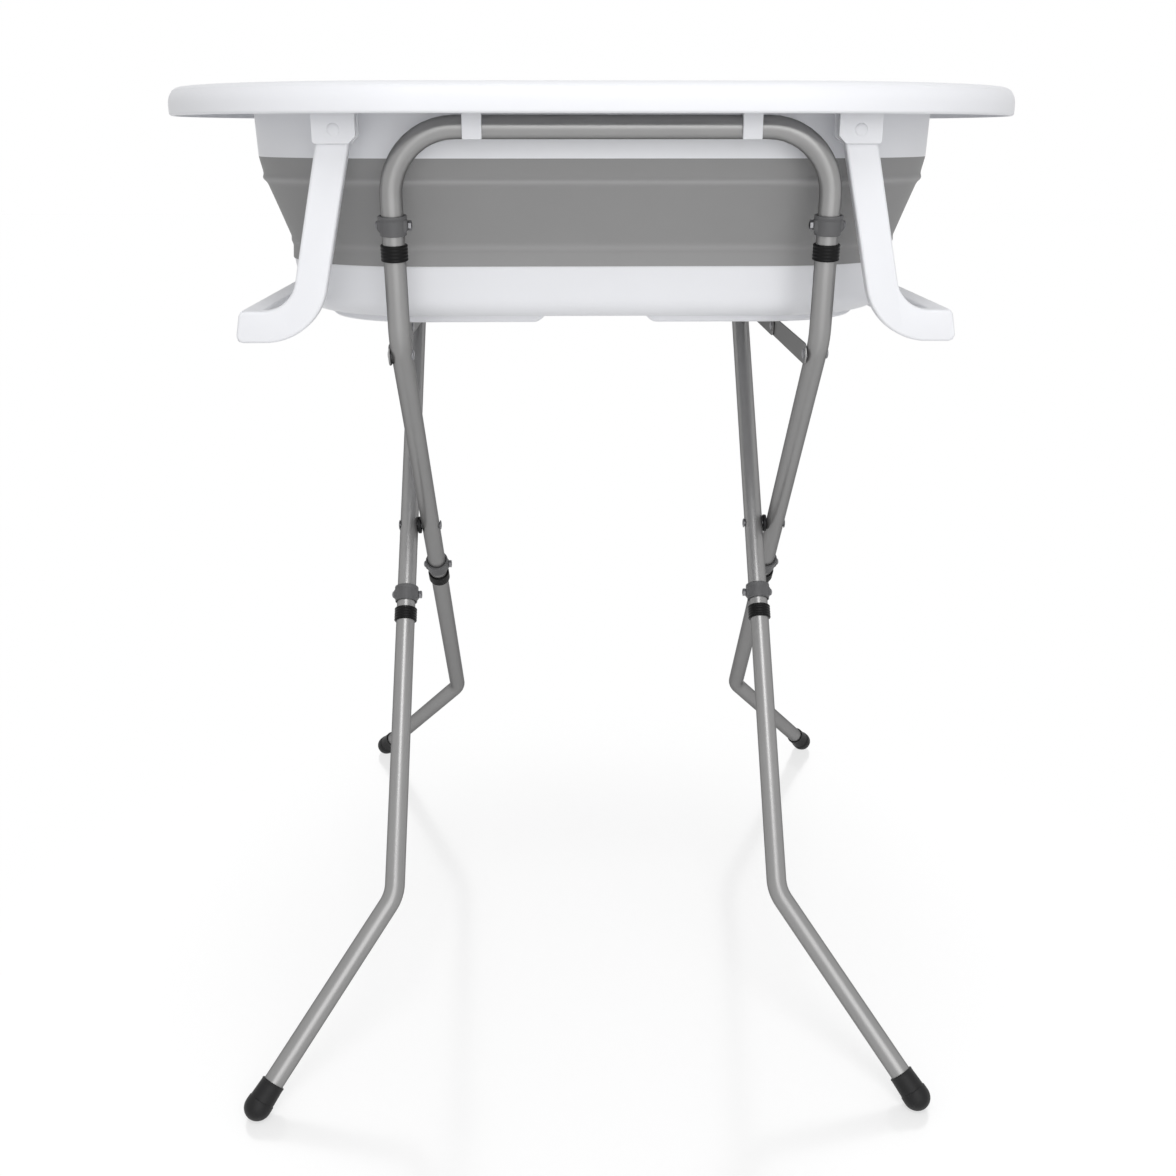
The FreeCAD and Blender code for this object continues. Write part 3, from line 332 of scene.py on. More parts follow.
# Between the edges the radius is the collar's less a rib's depth * (1 - cosine) / 2, once for each rib.
rib_share = np.linspace(0, 1, 10 * COLLAR_RIBS + 1)
ribbed_radius = COLLAR_RADIUS - COLLAR_RIB * (1 - np.cos(2 * math.pi * COLLAR_RIBS * rib_share)) / 2
ribbed_height = (COLLAR_HALF - COLLAR_EDGE) * (2 * rib_share - 1)
collar_profile = np.concatenate([
    [(TUBE_RADIUS, -COLLAR_HALF)],
    arc((COLLAR_RADIUS - COLLAR_EDGE, COLLAR_EDGE - COLLAR_HALF), COLLAR_EDGE, -90, -10, 6),
    np.column_stack([ribbed_radius, ribbed_height]),
    arc((COLLAR_RADIUS - COLLAR_EDGE, COLLAR_HALF - COLLAR_EDGE), COLLAR_EDGE, 10, 90, 6),
    [(TUBE_RADIUS, COLLAR_HALF)],
])
for name, turn in FRAMES:
    for side in (1, -1):
        for level, seam, up in SEAMS:
            node = f"{name}_{side_of(side, turn)}_{level}_collar"
            centre = turned_round(seam + ACROSS * leg_half * side, turn)
            sleeve = skin(spun(collar_profile, centre, turned_round(up, turn)), loop=True)
            collar = make_piece(f"{node}_sleeve", [sleeve], collar_plastic)
            fit(collar, f"{name}_frame", "collar_plastic", node)


# Clamp bands. Dark grey nylon bands round the tubes above the seams. Each swells into a boss on either
# side, where a bolt goes through band, tube and spigot. Its upper rim has a raised lip, and both mouths
# stand a little clear of the tube.
CLAMP_OVER_SEAM = 0.0225
CLAMP_HALF = 0.0082
CLAMP_RADIUS = 0.0113
CLAMP_LIP = 0.0009
CLAMP_LIP_HEIGHT = 0.0034
CLAMP_EDGE = 0.0006
CLAMP_GAP = 0.0008
CLAMP_GAP_DEPTH = 0.003
CLAMP_ROWS = 15
LEAST_COSINE = 0.2
EAR_REACH = 0.0130
EAR_HALF_WIDTH = 0.0046
EAR_HALF_HEIGHT = 0.0048
CLAMP_GREY = (0.10, 0.10, 0.103)


def clamp_band(centre, up, out, sides=96):
    """A band of radius r at height h that swells into two bosses: with the boss's shape
    b = exp(-(y / width)^6 - (h / height)^6) the radius is r + b * (reach / |cosine| - r), so each boss
    ends in a flat face square to the bolt. The cosine is held off zero, where b is nothing anyway."""
    angle = np.linspace(0, 2 * math.pi, sides, endpoint=False)
    lip = CLAMP_RADIUS + CLAMP_LIP
    mouth = TUBE_RADIUS + CLAMP_GAP
    gap_end = CLAMP_HALF - CLAMP_GAP_DEPTH
    heights = np.linspace(2 * CLAMP_EDGE - CLAMP_HALF, CLAMP_HALF - CLAMP_LIP_HEIGHT, CLAMP_ROWS)
    profile = np.concatenate([
        [(TUBE_RADIUS, -gap_end), (mouth, -gap_end), (mouth, -CLAMP_HALF)],
        arc((CLAMP_RADIUS - CLAMP_EDGE, CLAMP_EDGE - CLAMP_HALF), CLAMP_EDGE, -90, 0, 4),
        np.column_stack([np.full(len(heights), CLAMP_RADIUS), heights]),
        [(lip, CLAMP_HALF - CLAMP_LIP_HEIGHT + CLAMP_LIP)],
        arc((lip - CLAMP_EDGE, CLAMP_HALF - CLAMP_EDGE), CLAMP_EDGE, 0, 90, 4),
        [(mouth, CLAMP_HALF), (mouth, gap_end), (TUBE_RADIUS, gap_end)],
    ])
    radius, height = profile[:, :1], profile[:, 1:]
    cosine = np.maximum(np.abs(np.cos(angle)), LEAST_COSINE)
    across = CLAMP_RADIUS * np.sin(angle) / EAR_HALF_WIDTH
    swell = np.exp(-across ** 6 - (height / EAR_HALF_HEIGHT) ** 6) * (radius > mouth)
    spread = radius + swell * (EAR_REACH / cosine - radius)
    back = np.cross(up, out)
    ring = np.cos(angle)[:, None] * out + np.sin(angle)[:, None] * back
    return centre + spread[..., None] * ring[None] + height[..., None] * up


clamp_nylon = finish_of("clamp_nylon", CLAMP_GREY, roughness=0.5, gloss=0.35, drift=0.1, patch=0.01,
                        grain=0.0007, depth=0.00006)
for name, turn in FRAMES:
    for side in (1, -1):
        for level, seam, up in SEAMS:
            node = f"{name}_{side_of(side, turn)}_{level}_clamp"
            centre = turned_round(seam + up * CLAMP_OVER_SEAM + ACROSS * leg_half * side, turn)
            band = skin(clamp_band(centre, turned_round(up, turn), ACROSS), loop=True)
            clamp = make_piece(f"{node}_band", [band], clamp_nylon, crease=50)
            fit(clamp, f"{name}_frame", "clamp_plastic", node)


# Clamp bolts and nuts. Zinc-plated M5 bolts, with a domed head on the outer ear and a hexagon nut on
# the inner one. Only what stands out of the ears shows, so the shanks run from face to face.
BOLT_RADIUS = 0.0025
BOLT_HEAD_RADIUS = 0.0037
BOLT_HEAD_RISE = 0.0020
NUT_RADIUS = 0.0042
NUT_THICK = 0.003
ZINC = (0.22, 0.22, 0.23)


def domed(radius, rise, steps=8):
    """Half profile of a shallow dome: radius * cosine against rise * sine."""
    angle = np.radians(np.linspace(0, 88, steps))
    return np.stack([radius * np.cos(angle), rise * np.sin(angle)], axis=1)


def hexagon(radius, thick, centre, axis):
    """A nut: six sides between two bevelled faces, each bevel drawn in by a twelfth of the radius."""
    bevel = radius / 12
    profile = [(radius - bevel, 0), (radius, bevel), (radius, thick - bevel), (radius - bevel, thick)]
    return spun(profile, centre, axis, sides=6)


zinc_plate = finish_of("zinc_plate", ZINC, roughness=0.4, metal=1.0, drift=0.08, patch=0.004,
                       grain=0.0004, depth=0.00002)
for name, turn in FRAMES:
    heads, nuts = [], []
    for side in (1, -1):
        for level, seam, up in SEAMS:
            centre = turned_round(seam + up * CLAMP_OVER_SEAM + ACROSS * leg_half * side, turn)
            out = ACROSS * side * turn
            shank = [(BOLT_RADIUS, -2 * EAR_REACH - NUT_THICK), (BOLT_RADIUS, 0)]
            profile = np.concatenate([shank, domed(BOLT_HEAD_RADIUS, BOLT_HEAD_RISE)])
            heads.append(skin(spun(profile, centre + out * EAR_REACH, out, sides=24)))
            nuts.append(skin(hexagon(NUT_RADIUS, NUT_THICK, centre - out * EAR_REACH, -out)))
    body = f"{name}_frame"
    bolts = make_piece(f"{name}_clamp_bolts_plated", heads, zinc_plate)
    fit(bolts, body, "hardware_steel", f"{name}_clamp_bolts")
    nut_set = make_piece(f"{name}_clamp_nuts_plated", nuts, zinc_plate)
    fit(nut_set, body, "hardware_steel", f"{name}_clamp_nuts")


# Cross pivots. One plated bolt a side lets the two frames scissor. It runs from a low domed head outside
# to a thin nut inside, with a blackened washer between the two legs, whose black is also painted shade
# in the gap where the legs cross.
PIVOT_BOLT_RADIUS = 0.003
PIVOT_HEAD_RADIUS = 0.0055
PIVOT_HEAD_RISE = 0.0012
PIVOT_NUT_RADIUS = 0.005
PIVOT_NUT_THICK = 0.0014
PIVOT_PLAY = 0.0003
WASHER_RADIUS = 0.009
WASHER_HALF = 0.0016
WASHER_EDGE = 0.0004
# The washers are black partly as painted shade, for the dark gap where the two legs cross.
BLACKENED_AND_SHADE = (0.02, 0.02, 0.021)

pivot_reach = frame_shift + TUBE_RADIUS + PIVOT_PLAY
bolts, nuts, washers = [], [], []
for side in (1, -1):
    out = ACROSS * side
    middle = np.array([side * leg_half, 0, pivot_height])
    shank = [(PIVOT_BOLT_RADIUS, -2 * pivot_reach - PIVOT_NUT_THICK), (PIVOT_BOLT_RADIUS, 0)]
    profile = np.concatenate([shank, domed(PIVOT_HEAD_RADIUS, PIVOT_HEAD_RISE)])
    bolts.append(skin(spun(profile, middle + out * pivot_reach, out, sides=32)))
    nuts.append(skin(hexagon(PIVOT_NUT_RADIUS, PIVOT_NUT_THICK, middle - out * pivot_reach, -out)))
    rim_of_washer = [
        (PIVOT_BOLT_RADIUS, -WASHER_HALF),
        (WASHER_RADIUS - WASHER_EDGE, -WASHER_HALF),
        (WASHER_RADIUS, WASHER_EDGE - WASHER_HALF),
        (WASHER_RADIUS, WASHER_HALF - WASHER_EDGE),
        (WASHER_RADIUS - WASHER_EDGE, WASHER_HALF),
        (PIVOT_BOLT_RADIUS, WASHER_HALF),
    ]
    washers.append(skin(spun(rim_of_washer, middle, out), loop=True))
black_steel = finish_of("black_steel", BLACKENED_AND_SHADE, roughness=0.5, metal=0.6, gloss=0.2, drift=0.1,
                        patch=0.006, grain=0.0005)
PIVOT_SETS = (
    ("bolts", bolts, zinc_plate),
    ("nuts", nuts, zinc_plate),
    ("spacers", washers, black_steel),
)
for node, skins, finish in PIVOT_SETS:
    pivot_set = make_piece(f"cross_pivot_{node}_plated", skins, finish)
    fit(pivot_set, "pivots", "hardware_steel", f"cross_pivot_{node}")


# Spreader stays. Flat steel strips with round ends, painted like the tubes. Two links a side are riveted
# together in the middle, and to the legs at their ends, so that they fold downwards as the stand closes.
STAY_HALF_WIDTH = 0.0095
STAY_HALF_THICK = 0.0007
STAY_EDGE = 0.0003
RIVET_RADIUS = 0.0025
RIVET_HEAD_RADIUS = 0.0046
RIVET_HEAD_RISE = 0.0014
RIVET_PLAY = 0.0001

stay_height = joint_at["far_stay_turn"]["pos_m"][2]
stay_reach = -joint_at["near_stay_turn"]["pos_m"][1]


def stay_outline(inset, end, sides=20):
    """A strip from the middle rivet to the leg's rivet: two half circles about the rivets, joined by
    straight edges, all drawn in by an inset."""
    radius = STAY_HALF_WIDTH - inset
    tip = arc((stay_reach, 0), radius, -90, 90, sides)
    root = arc((0, 0), radius, 90, 270, sides)
    outline = np.concatenate([tip, root])
    outline[:, 0] *= end
    return outline


def stay_link(node):
    """The strip's outline stacked through its thickness, drawn in at both faces for a soft edge."""
    end = math.copysign(1, middle_of(node)[1])
    x = middle_of(node)[0]
    levels = (
        (STAY_EDGE, -STAY_HALF_THICK),
        (0, STAY_EDGE - STAY_HALF_THICK),
        (0, STAY_HALF_THICK - STAY_EDGE),
        (STAY_EDGE, STAY_HALF_THICK),
    )
    rows = []
    for inset, level in levels:
        outline = stay_outline(inset, end)
        rows.append(np.column_stack([np.full(len(outline), x + level), outline + (0, stay_height)]))
    return skin(np.array(rows))


def rivet(at, inner_x, outer_x):
    """A rivet across the legs, from one X to another, with a shallow dome on each end."""
    inner = at + ACROSS * inner_x
    way = ACROSS * (outer_x - inner_x)
    length = np.linalg.norm(way)
    head = domed(RIVET_HEAD_RADIUS, RIVET_HEAD_RISE)
    foot = head[::-1] * (1, -1)
    return skin(spun(np.concatenate([foot, head + (0, length)]), inner, way, sides=32))


for end_name in ("near", "far"):
    for side_name in ("right", "left"):
        node = f"{end_name}_{side_name}_stay_link"
        link = make_piece(f"{node}_strip", [stay_link(node)], silver_paint)
        fit(link, f"{end_name}_stays", "stay_steel", node)

rivet_face = STAY_HALF_THICK + RIVET_PLAY
middle_rivets, end_rivets, near_rivets, far_rivets = [], [], [], []
for side_name, side in (("right", 1), ("left", -1)):
    near_x = middle_of(f"near_{side_name}_stay_link")[0]
    far_x = middle_of(f"far_{side_name}_stay_link")[0]
    low_x, high_x = sorted((near_x, far_x))
    at_middle = np.array([0, 0, stay_height])
    at_near, at_far = at_middle - (0, stay_reach, 0), at_middle + (0, stay_reach, 0)
    middle_rivets.append(rivet(at_middle, low_x - rivet_face, high_x + rivet_face))
    near_leg = side * leg_half + frame_shift
    far_leg = side * leg_half - frame_shift
    near_rivets.append(rivet(at_near, near_x - rivet_face, near_leg + TUBE_RADIUS))
    far_rivets.append(rivet(at_far, far_leg - TUBE_RADIUS, far_leg))
    shank_end = [(RIVET_RADIUS, -2 * STAY_HALF_THICK)]
    stub = np.concatenate([shank_end, domed(RIVET_HEAD_RADIUS, RIVET_HEAD_RISE)])
    end_rivets.append(skin(spun(stub, at_far + ACROSS * (far_x + STAY_HALF_THICK), ACROSS, sides=32)))
RIVETS = (
    ("stay_middle_rivets", "near_stays", middle_rivets),
    ("stay_end_rivets", "far_stays", end_rivets),
    ("near_stay_rivets", "near_frame", near_rivets),
    ("far_stay_rivets", "far_frame", far_rivets),
)
for node, body, skins in RIVETS:
    fit(make_piece(f"{node}_plated", skins, zinc_plate), body, "hardware_steel", node)


# Rim and band. One white polypropylene moulding: a wide lip with a rounded outer edge that turns down
# into a skirt, and inside it a band that hangs down to hold the soft wall. The lip is hollow below.
RIM_CORNER = 0.25
RIM_WALL = 0.004
RIM_DEPTH = 0.025
RIM_EDGE_IN = 0.011
RIM_EDGE_DOWN = 0.015
RIM_CROWN = 0.0008
SKIRT_ROUND = 0.0025
MOUTH_ROUND = 0.003
BAND_SIZE = (0.636, 0.366, 0.165)
BAND_TAPER = 0.002
BAND_WALL = 0.004
WHITE = (0.787, 0.794, 0.822)

rim_low, rim_high = (np.array(corner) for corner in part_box("rim"))
RIM_SIZE = (*(rim_high - rim_low)[:2], RIM_CORNER)
rim_top = rim_high[2]
skirt_bottom = rim_top - RIM_DEPTH


def outline(size, inset=0.0, steps=28):
    """A rectangle with round corners, drawn in by an inset: four arcs about the corners' centres, with
    the straight sides left as the long edges between them."""
    length, width, corner = size
    radius = corner - inset
    x, y = length / 2 - corner, width / 2 - corner
    quarters = ((x, -y, -90), (x, y, 0), (-x, y, 90), (-x, -y, 180))
    return np.concatenate([arc(at, radius, start, start + 90, steps) for *at, start in quarters])


def between(first, second, share):
    """A size part of the way from one outline's size to another's."""
    return tuple(a + share * (b - a) for a, b in zip(first, second))


def stacked(stations):
    """A grid from outlines at heights: each station is (size, inset, height)."""
    rows = []
    for size, inset, height in stations:
        points = outline(size, inset)
        rows.append(np.column_stack([points, np.full(len(points), height)]))
    return np.array(rows)


white_plastic = finish_of("white_plastic", WHITE, roughness=0.42, drift=0.012, patch=0.09, grain=0.0011,
                          depth=0.00003)
lip_height = rim_top - RIM_CROWN
# The outer edge is a quarter of an ellipse, and the lip between its two edges is crowned like a parabola.
quarter = np.radians(np.linspace(0, 90, 12))
edge_insets = RIM_EDGE_IN * (1 - np.cos(quarter))
edge_heights = lip_height - RIM_EDGE_DOWN * (1 - np.sin(quarter))
band_in = (BAND_SIZE[0] - 2 * BAND_WALL, BAND_SIZE[1] - 2 * BAND_WALL, BAND_SIZE[2] - BAND_WALL)
lip_in = (RIM_SIZE[0] - 2 * RIM_EDGE_IN, RIM_SIZE[1] - 2 * RIM_EDGE_IN, RIM_SIZE[2] - RIM_EDGE_IN)
skirt_edge = arc((SKIRT_ROUND, skirt_bottom + SKIRT_ROUND), SKIRT_ROUND, 270, 180, 6)
mouth_edge = arc((-MOUTH_ROUND, lip_height - MOUTH_ROUND), MOUTH_ROUND, 90, 0, 6)
rim_stations = [(RIM_SIZE, inset, height) for inset, height in skirt_edge]
rim_stations += [(RIM_SIZE, inset, height) for inset, height in zip(edge_insets, edge_heights)]
for share in np.linspace(0, 1, 9)[1:-1]:
    rim_stations.append((between(lip_in, band_in, share), 0, rim_top - RIM_CROWN * (2 * share - 1) ** 2))
rim_stations += [(band_in, inset, height) for inset, height in mouth_edge]
rim_stations += [
    (band_in, BAND_TAPER, rim_low[2]),
    (BAND_SIZE, BAND_TAPER, rim_low[2]),
    (BAND_SIZE, 0, rim_top - RIM_WALL),
    (RIM_SIZE, RIM_WALL, rim_top - RIM_WALL),
    (RIM_SIZE, RIM_WALL, skirt_bottom),
]
rim = make_piece("rim_moulding", [skin(stacked(rim_stations), loop=True)], white_plastic, crease=40)
fit(rim, "tub", "white_plastic", "rim")


# Folding wall. A soft grey rubber ring, bonded to the band above and the base below. It slopes in from
# the band to a neck above the base, with a raised crease line at either end of the slope where it folds.
WALL_THICK = 0.003
WALL_HEIGHT_SHARES = (0, 0.17, 0.52, 0.75, 0.80, 0.85, 1)
WALL_SPREAD_SHARES = (0.04, 0, 0.46, 0.77, 0.87, 0.88, 1)
CREASE_SHARES = (0.17, 0.785)
# Painted light: how much paler each crease is painted, a painted highlight where its ridge catches the
# light.
CREASE_PAINTED_LIGHT = (0.5, 1.0)
CREASE_RISE = 0.0016
CREASE_WIDTH_SHARE = 0.03
WALL_ROWS = 70
FINE_STEPS = 401
SMOOTH_STEPS = 12
BASE_SIZE = (0.578, 0.304, 0.13)
WALL_GREY = (0.262, 0.261, 0.261)
# The paler grey painted on the creases and the low band, standing in for the light that falls on them.
PAINTED_LIGHT_GREY = (0.335, 0.333, 0.335)
LOW_BAND_PAINTED_LIGHT = 0.2

wall_low, wall_high = (np.array(corner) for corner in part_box("folding_wall"))
wall_height = wall_high[2] - wall_low[2]
band_low = tuple(size - drop for size, drop in zip(BAND_SIZE, (2 * BAND_TAPER, 2 * BAND_TAPER, BAND_TAPER)))


def wall_stations(shares, thickness):
    """Outlines up the wall: the spread follows the shares, smoothed, and each crease lifts the surface by
    its rise * exp(-(distance / width)^2). The rubber is painted paler by the same curve, a painted
    highlight where the ridges catch the light."""
    fine = np.linspace(0, 1, FINE_STEPS)
    spread = np.interp(fine, WALL_HEIGHT_SHARES, WALL_SPREAD_SHARES)
    window = np.hanning(2 * SMOOTH_STEPS + 1)
    padded = np.pad(spread, SMOOTH_STEPS, mode="edge")
    smooth = np.convolve(padded, window / window.sum(), mode="valid")
    found = np.interp(shares, fine, smooth)
    creases = [np.exp(-((shares - crease) / CREASE_WIDTH_SHARE) ** 2) for crease in CREASE_SHARES]
    lift = CREASE_RISE * sum(creases)
    heights = wall_low[2] + shares * wall_height
    sizes = [between(BASE_SIZE, band_low, amount) for amount in found]
    return [(size, thickness - rise, height) for size, rise, height in zip(sizes, lift, heights)]


soft_rubber = finish_of("soft_rubber", WALL_GREY, roughness=0.62, drift=0.05, patch=0.05, grain=0.0009,
                        depth=0.00006)
# The fold rubber turns paler where an attribute says so: painted highlight along the creases and painted
# light on the low band.
fold_rubber = soft_rubber.copy()
fold_rubber.name = "fold_rubber"
nodes, links = fold_rubber.node_tree.nodes, fold_rubber.node_tree.links
painted_light_reader = nodes.new("ShaderNodeAttribute")
painted_light_reader.attribute_name = "fold_wear"
paler = nodes.new("ShaderNodeMix")
paler.data_type = "RGBA"
paler.inputs[MIX_SECOND].default_value = (*PAINTED_LIGHT_GREY, 1)
base_colour = nodes["Principled BSDF"].inputs["Base Color"]
links.new(base_colour.links[0].from_socket, paler.inputs[MIX_FIRST])
links.new(painted_light_reader.outputs["Fac"], paler.inputs[MIX_SHARE])
links.new(paler.outputs[MIX_RESULT], base_colour)
up_shares = np.linspace(0, 1, WALL_ROWS)
outside = wall_stations(up_shares, 0)
inside = wall_stations(up_shares[::-1], WALL_THICK)
wall_grid = stacked(outside + inside)
wall = make_piece("folding_wall_rubber", [skin(wall_grid, loop=True)], fold_rubber, crease=60)
# Painted light: paler along each crease, where the ridge catches the light, and paler over the upright low
# band below the first crease.
both_ways = np.concatenate([up_shares, up_shares[::-1]])
lighter_amount = sum(amount * np.exp(-((both_ways - crease) / CREASE_WIDTH_SHARE) ** 2)
           for crease, amount in zip(CREASE_SHARES, CREASE_PAINTED_LIGHT))
lighter_amount = np.maximum(lighter_amount, LOW_BAND_PAINTED_LIGHT * (both_ways < CREASE_SHARES[0]))
fold_wear = wall.data.attributes.new("fold_wear", "FLOAT", "POINT")
fold_wear.data.foreach_set("value", np.repeat(lighter_amount, wall_grid.shape[1]))
fit(wall, "tub", "soft_wall", "folding_wall")
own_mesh(wall)


# Base pan. A white polypropylene tray that the soft wall is bonded to, with a rounded lower edge. It
# stands on a low ring that is cut away in the middle of the long sides, and has a drain near one end.
BASE_DRAFT = 0.008
BASE_WALL = 0.004
BASE_ROUND = 0.02
DRAIN_HOLE = 0.019
RING_HEIGHT = 0.007
RING_THICK = 0.012
RING_INSET = 0.034
RING_GAP = 0.089
RING_EDGE = 0.0015
RING_RAMP = 0.012
RING_SINK = 0.001
RING_TOE_SHARE = 0.1
FLOOR_INSET = 0.07
FLOOR_SHARES = (0.3, 0.6, 0.85)

base_low, base_high = (np.array(corner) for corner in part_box("base_pan"))
base_bottom = base_low[2] + RING_HEIGHT
base_height = base_high[2] - base_bottom


def tray_side(wall):
    """One face of the tray from its middle to its top edge: the floor, a round corner, then the drafted
    side. The inner face lies a wall's thickness inside the outer one."""
    floor = base_bottom + wall
    radius = BASE_ROUND - wall
    draft = BASE_DRAFT * (1 - (wall + radius) / base_height)
    corner_inset = wall + draft + radius
    stations = [(BASE_SIZE, corner_inset + FLOOR_INSET * (1 - share), floor) for share in FLOOR_SHARES]
    round_corner = arc((corner_inset, floor + radius), radius, 270, 180, 9)
    stations += [(BASE_SIZE, inset, height) for inset, height in round_corner]
    stations.append((BASE_SIZE, wall, base_high[2]))
    return stations


tray_grid = stacked(tray_side(0) + tray_side(BASE_WALL)[::-1])
columns = tray_grid.shape[1]
# The floor runs in to the drain, whose edge is a circle about the plug at both faces of the floor.
drain_edge = np.roll(circle(DRAIN_HOLE, columns), columns // 4, axis=0) + middle_of("drain_plug")[:2]
drain_rows = [np.column_stack([drain_edge, np.full(columns, row[0, 2])]) for row in tray_grid[[0, -1]]]
tray = skin(np.concatenate([drain_rows[:1], tray_grid, drain_rows[1:]]), loop=True)
ring_x = BASE_SIZE[0] / 2 - RING_INSET - RING_THICK / 2
ring_y = BASE_SIZE[1] / 2 - RING_INSET - RING_THICK / 2
ring_bend = BASE_SIZE[2] - RING_INSET - RING_THICK / 2
half_thick = RING_THICK / 2
ring_top = base_bottom + RING_SINK
ring_section = np.array([
    (-half_thick, ring_top - base_low[2]),
    (-half_thick, RING_EDGE),
    (RING_EDGE - half_thick, 0),
    (half_thick - RING_EDGE, 0),
    (half_thick, RING_EDGE),
    (half_thick, ring_top - base_low[2]),
])
foot_rings = []
for side in (1, -1):
    gap_x, end_x = side * RING_GAP / 2, side * ring_x
    line = bent_line([(gap_x, -ring_y), (end_x, -ring_y), (end_x, ring_y), (gap_x, ring_y)], ring_bend, 30)
    ramp = np.linspace(0, 1, 7)[:, None]
    toe_in = line[0] + ramp * (side * RING_RAMP, 0)
    line = np.concatenate([toe_in, line[1:-1], (toe_in * (1, -1))[::-1]])
    path = np.column_stack([line, np.full(len(line), base_low[2])])
    ring = carried(ring_section, path, np.array([0, 0, 1.0]))
    # The ends slope up to the tray: the drop grows with the sine of a quarter turn over the ramp.
    drop = np.sin(np.clip((np.abs(line[:, 0]) - RING_GAP / 2) / RING_RAMP, 0, 1) * math.pi / 2)
    ring[..., 2] = ring_top - (ring_top - ring[..., 2]) * np.maximum(drop, RING_TOE_SHARE)[:, None]
    foot_rings.append(skin(ring))
base = make_piece("base_pan_tray", [tray, *foot_rings], white_plastic, crease=40)
fit(base, "base", "white_plastic", "base_pan")


# Drain plug. A grey rubber stopper pushed into the drain from above, with a wide flange that seals on
# the tray's floor and a knob to pull it by.
PLUG_STEM = 0.0188
PLUG_FLANGE = 0.025
PLUG_FLANGE_THICK = 0.003
PLUG_FLANGE_ROUND = 0.0015
PLUG_TAPER = 0.0015
PLUG_KNOB = 0.007
PLUG_KNOB_ROUND = 0.003
PLUG_WAIST = 0.005
PLUG_WAIST_RISE = 0.002

plug_low, plug_high = (np.array(corner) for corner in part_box("drain_plug"))
plug_centre = np.array([*middle_of("drain_plug")[:2], base_bottom + BASE_WALL])
plug_top = plug_high[2] - plug_centre[2]
flange_edge = (PLUG_FLANGE - PLUG_FLANGE_ROUND, PLUG_FLANGE_THICK - PLUG_FLANGE_ROUND)
knob_edge = (PLUG_KNOB - PLUG_KNOB_ROUND, plug_top - PLUG_KNOB_ROUND)
plug_profile = np.concatenate([
    [(PLUG_STEM - PLUG_TAPER, plug_low[2] - plug_centre[2]), (PLUG_STEM, -BASE_WALL)],
    [(PLUG_STEM, 0), (PLUG_FLANGE, 0)],
    arc(flange_edge, PLUG_FLANGE_ROUND, 0, 90, 5),
    [(PLUG_KNOB + PLUG_KNOB_ROUND, PLUG_FLANGE_THICK), (PLUG_WAIST, PLUG_FLANGE_THICK + PLUG_WAIST_RISE)],
    arc(knob_edge, PLUG_KNOB_ROUND, -30, 90, 8),
])
plug = make_piece("drain_plug_stopper", [skin(spun(plug_profile, plug_centre, (0, 0, 1)))], soft_rubber)
fit(plug, "plug", "plug_rubber", "drain_plug")


# Leg brackets. White blocks under the lip, one over the top of each leg arm: two cheeks with a slot
# between them for the arm's eye, a rounded lower corner, and a pin pressed through both cheeks.
BRACKET_INNER_CUT = 0.006
BRACKET_OUTER_CUT = 0.0016
BRACKET_EDGE = 0.0009
ROOF_CUT = 0.001
SHARP_ANGLE = math.radians(40)
ARM_HALF_THICK = 0.0065
SLOT_PLAY = 0.0005
EYE_RADIUS = 0.0135
PIN_CAP_RADIUS = 0.0052
PIN_CAP_RISE = 0.001
PIN_RADIUS = 0.004

hinge_x, _, hinge_height = joint_at["right_leg_fold"]["pos_m"]
slot_half = ARM_HALF_THICK + SLOT_PLAY
slot_roof = hinge_height + EYE_RADIUS + SLOT_PLAY


def bracket_slab(corners, low_y, high_y, cuts):
    """A flat slab: an outline in X and Z with its two lower corners cut off, from one Y to another."""
    (low_x, low_z), (high_x, high_z) = corners
    low_cut, high_cut = cuts
    face = np.array([
        (low_x, low_z + low_cut),
        (low_x + low_cut, low_z),
        (high_x - high_cut, low_z),
        (high_x, low_z + high_cut),
        (high_x, high_z),
        (low_x, high_z),
    ])
    rows = [np.column_stack([face[:, 0], np.full(len(face), y), face[:, 1]]) for y in (low_y, high_y)]
    return skin(np.array(rows))


def soften(piece, width, segments=3):
    """Rounds the sharp edges of a moulding and evens the shading of its flats."""
    bevel = piece.modifiers.new("soft_edges", "BEVEL")
    bevel.width = width
    bevel.segments = segments
    bevel.limit_method = "ANGLE"
    bevel.angle_limit = SHARP_ANGLE
    even = piece.modifiers.new("even_flats", "WEIGHTED_NORMAL")
    even.keep_sharp = False


pin_caps = []
for end_name, end in (("near", -1), ("far", 1)):
    for side_name, side in (("right", 1), ("left", -1)):
        node = f"{end_name}_{side_name}_leg_bracket"
        low, high = (np.array(corner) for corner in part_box(node))
        middle_y = (low[1] + high[1]) / 2
        whole = ((low[0], low[2]), (high[0], high[2]))
        above = ((low[0], slot_roof), (high[0], high[2]))
        cuts = (BRACKET_INNER_CUT, BRACKET_OUTER_CUT)[::side]
        block = make_piece(f"{node}_block", [
            bracket_slab(whole, low[1], middle_y - slot_half, cuts),
            bracket_slab(whole, middle_y + slot_half, high[1], cuts),
            bracket_slab(above, middle_y - slot_half, middle_y + slot_half, (ROOF_CUT, ROOF_CUT)),
        ], white_plastic, crease=180)
        soften(block, BRACKET_EDGE)
        fit(block, "tub", "white_plastic", node)
        face_y = low[1] if end < 0 else high[1]
        shank = [(PIN_RADIUS, -(high[1] - low[1])), (PIN_RADIUS, 0)]
        cap = np.concatenate([shank, domed(PIN_CAP_RADIUS, PIN_CAP_RISE)])
        pin_caps.append(skin(spun(cap, (side * hinge_x, face_y, hinge_height), (0, end, 0), sides=40)))
pins = make_piece("leg_hinge_pins_capped", pin_caps, white_plastic)
fit(pins, "tub", "white_plastic", "leg_hinge_pins")


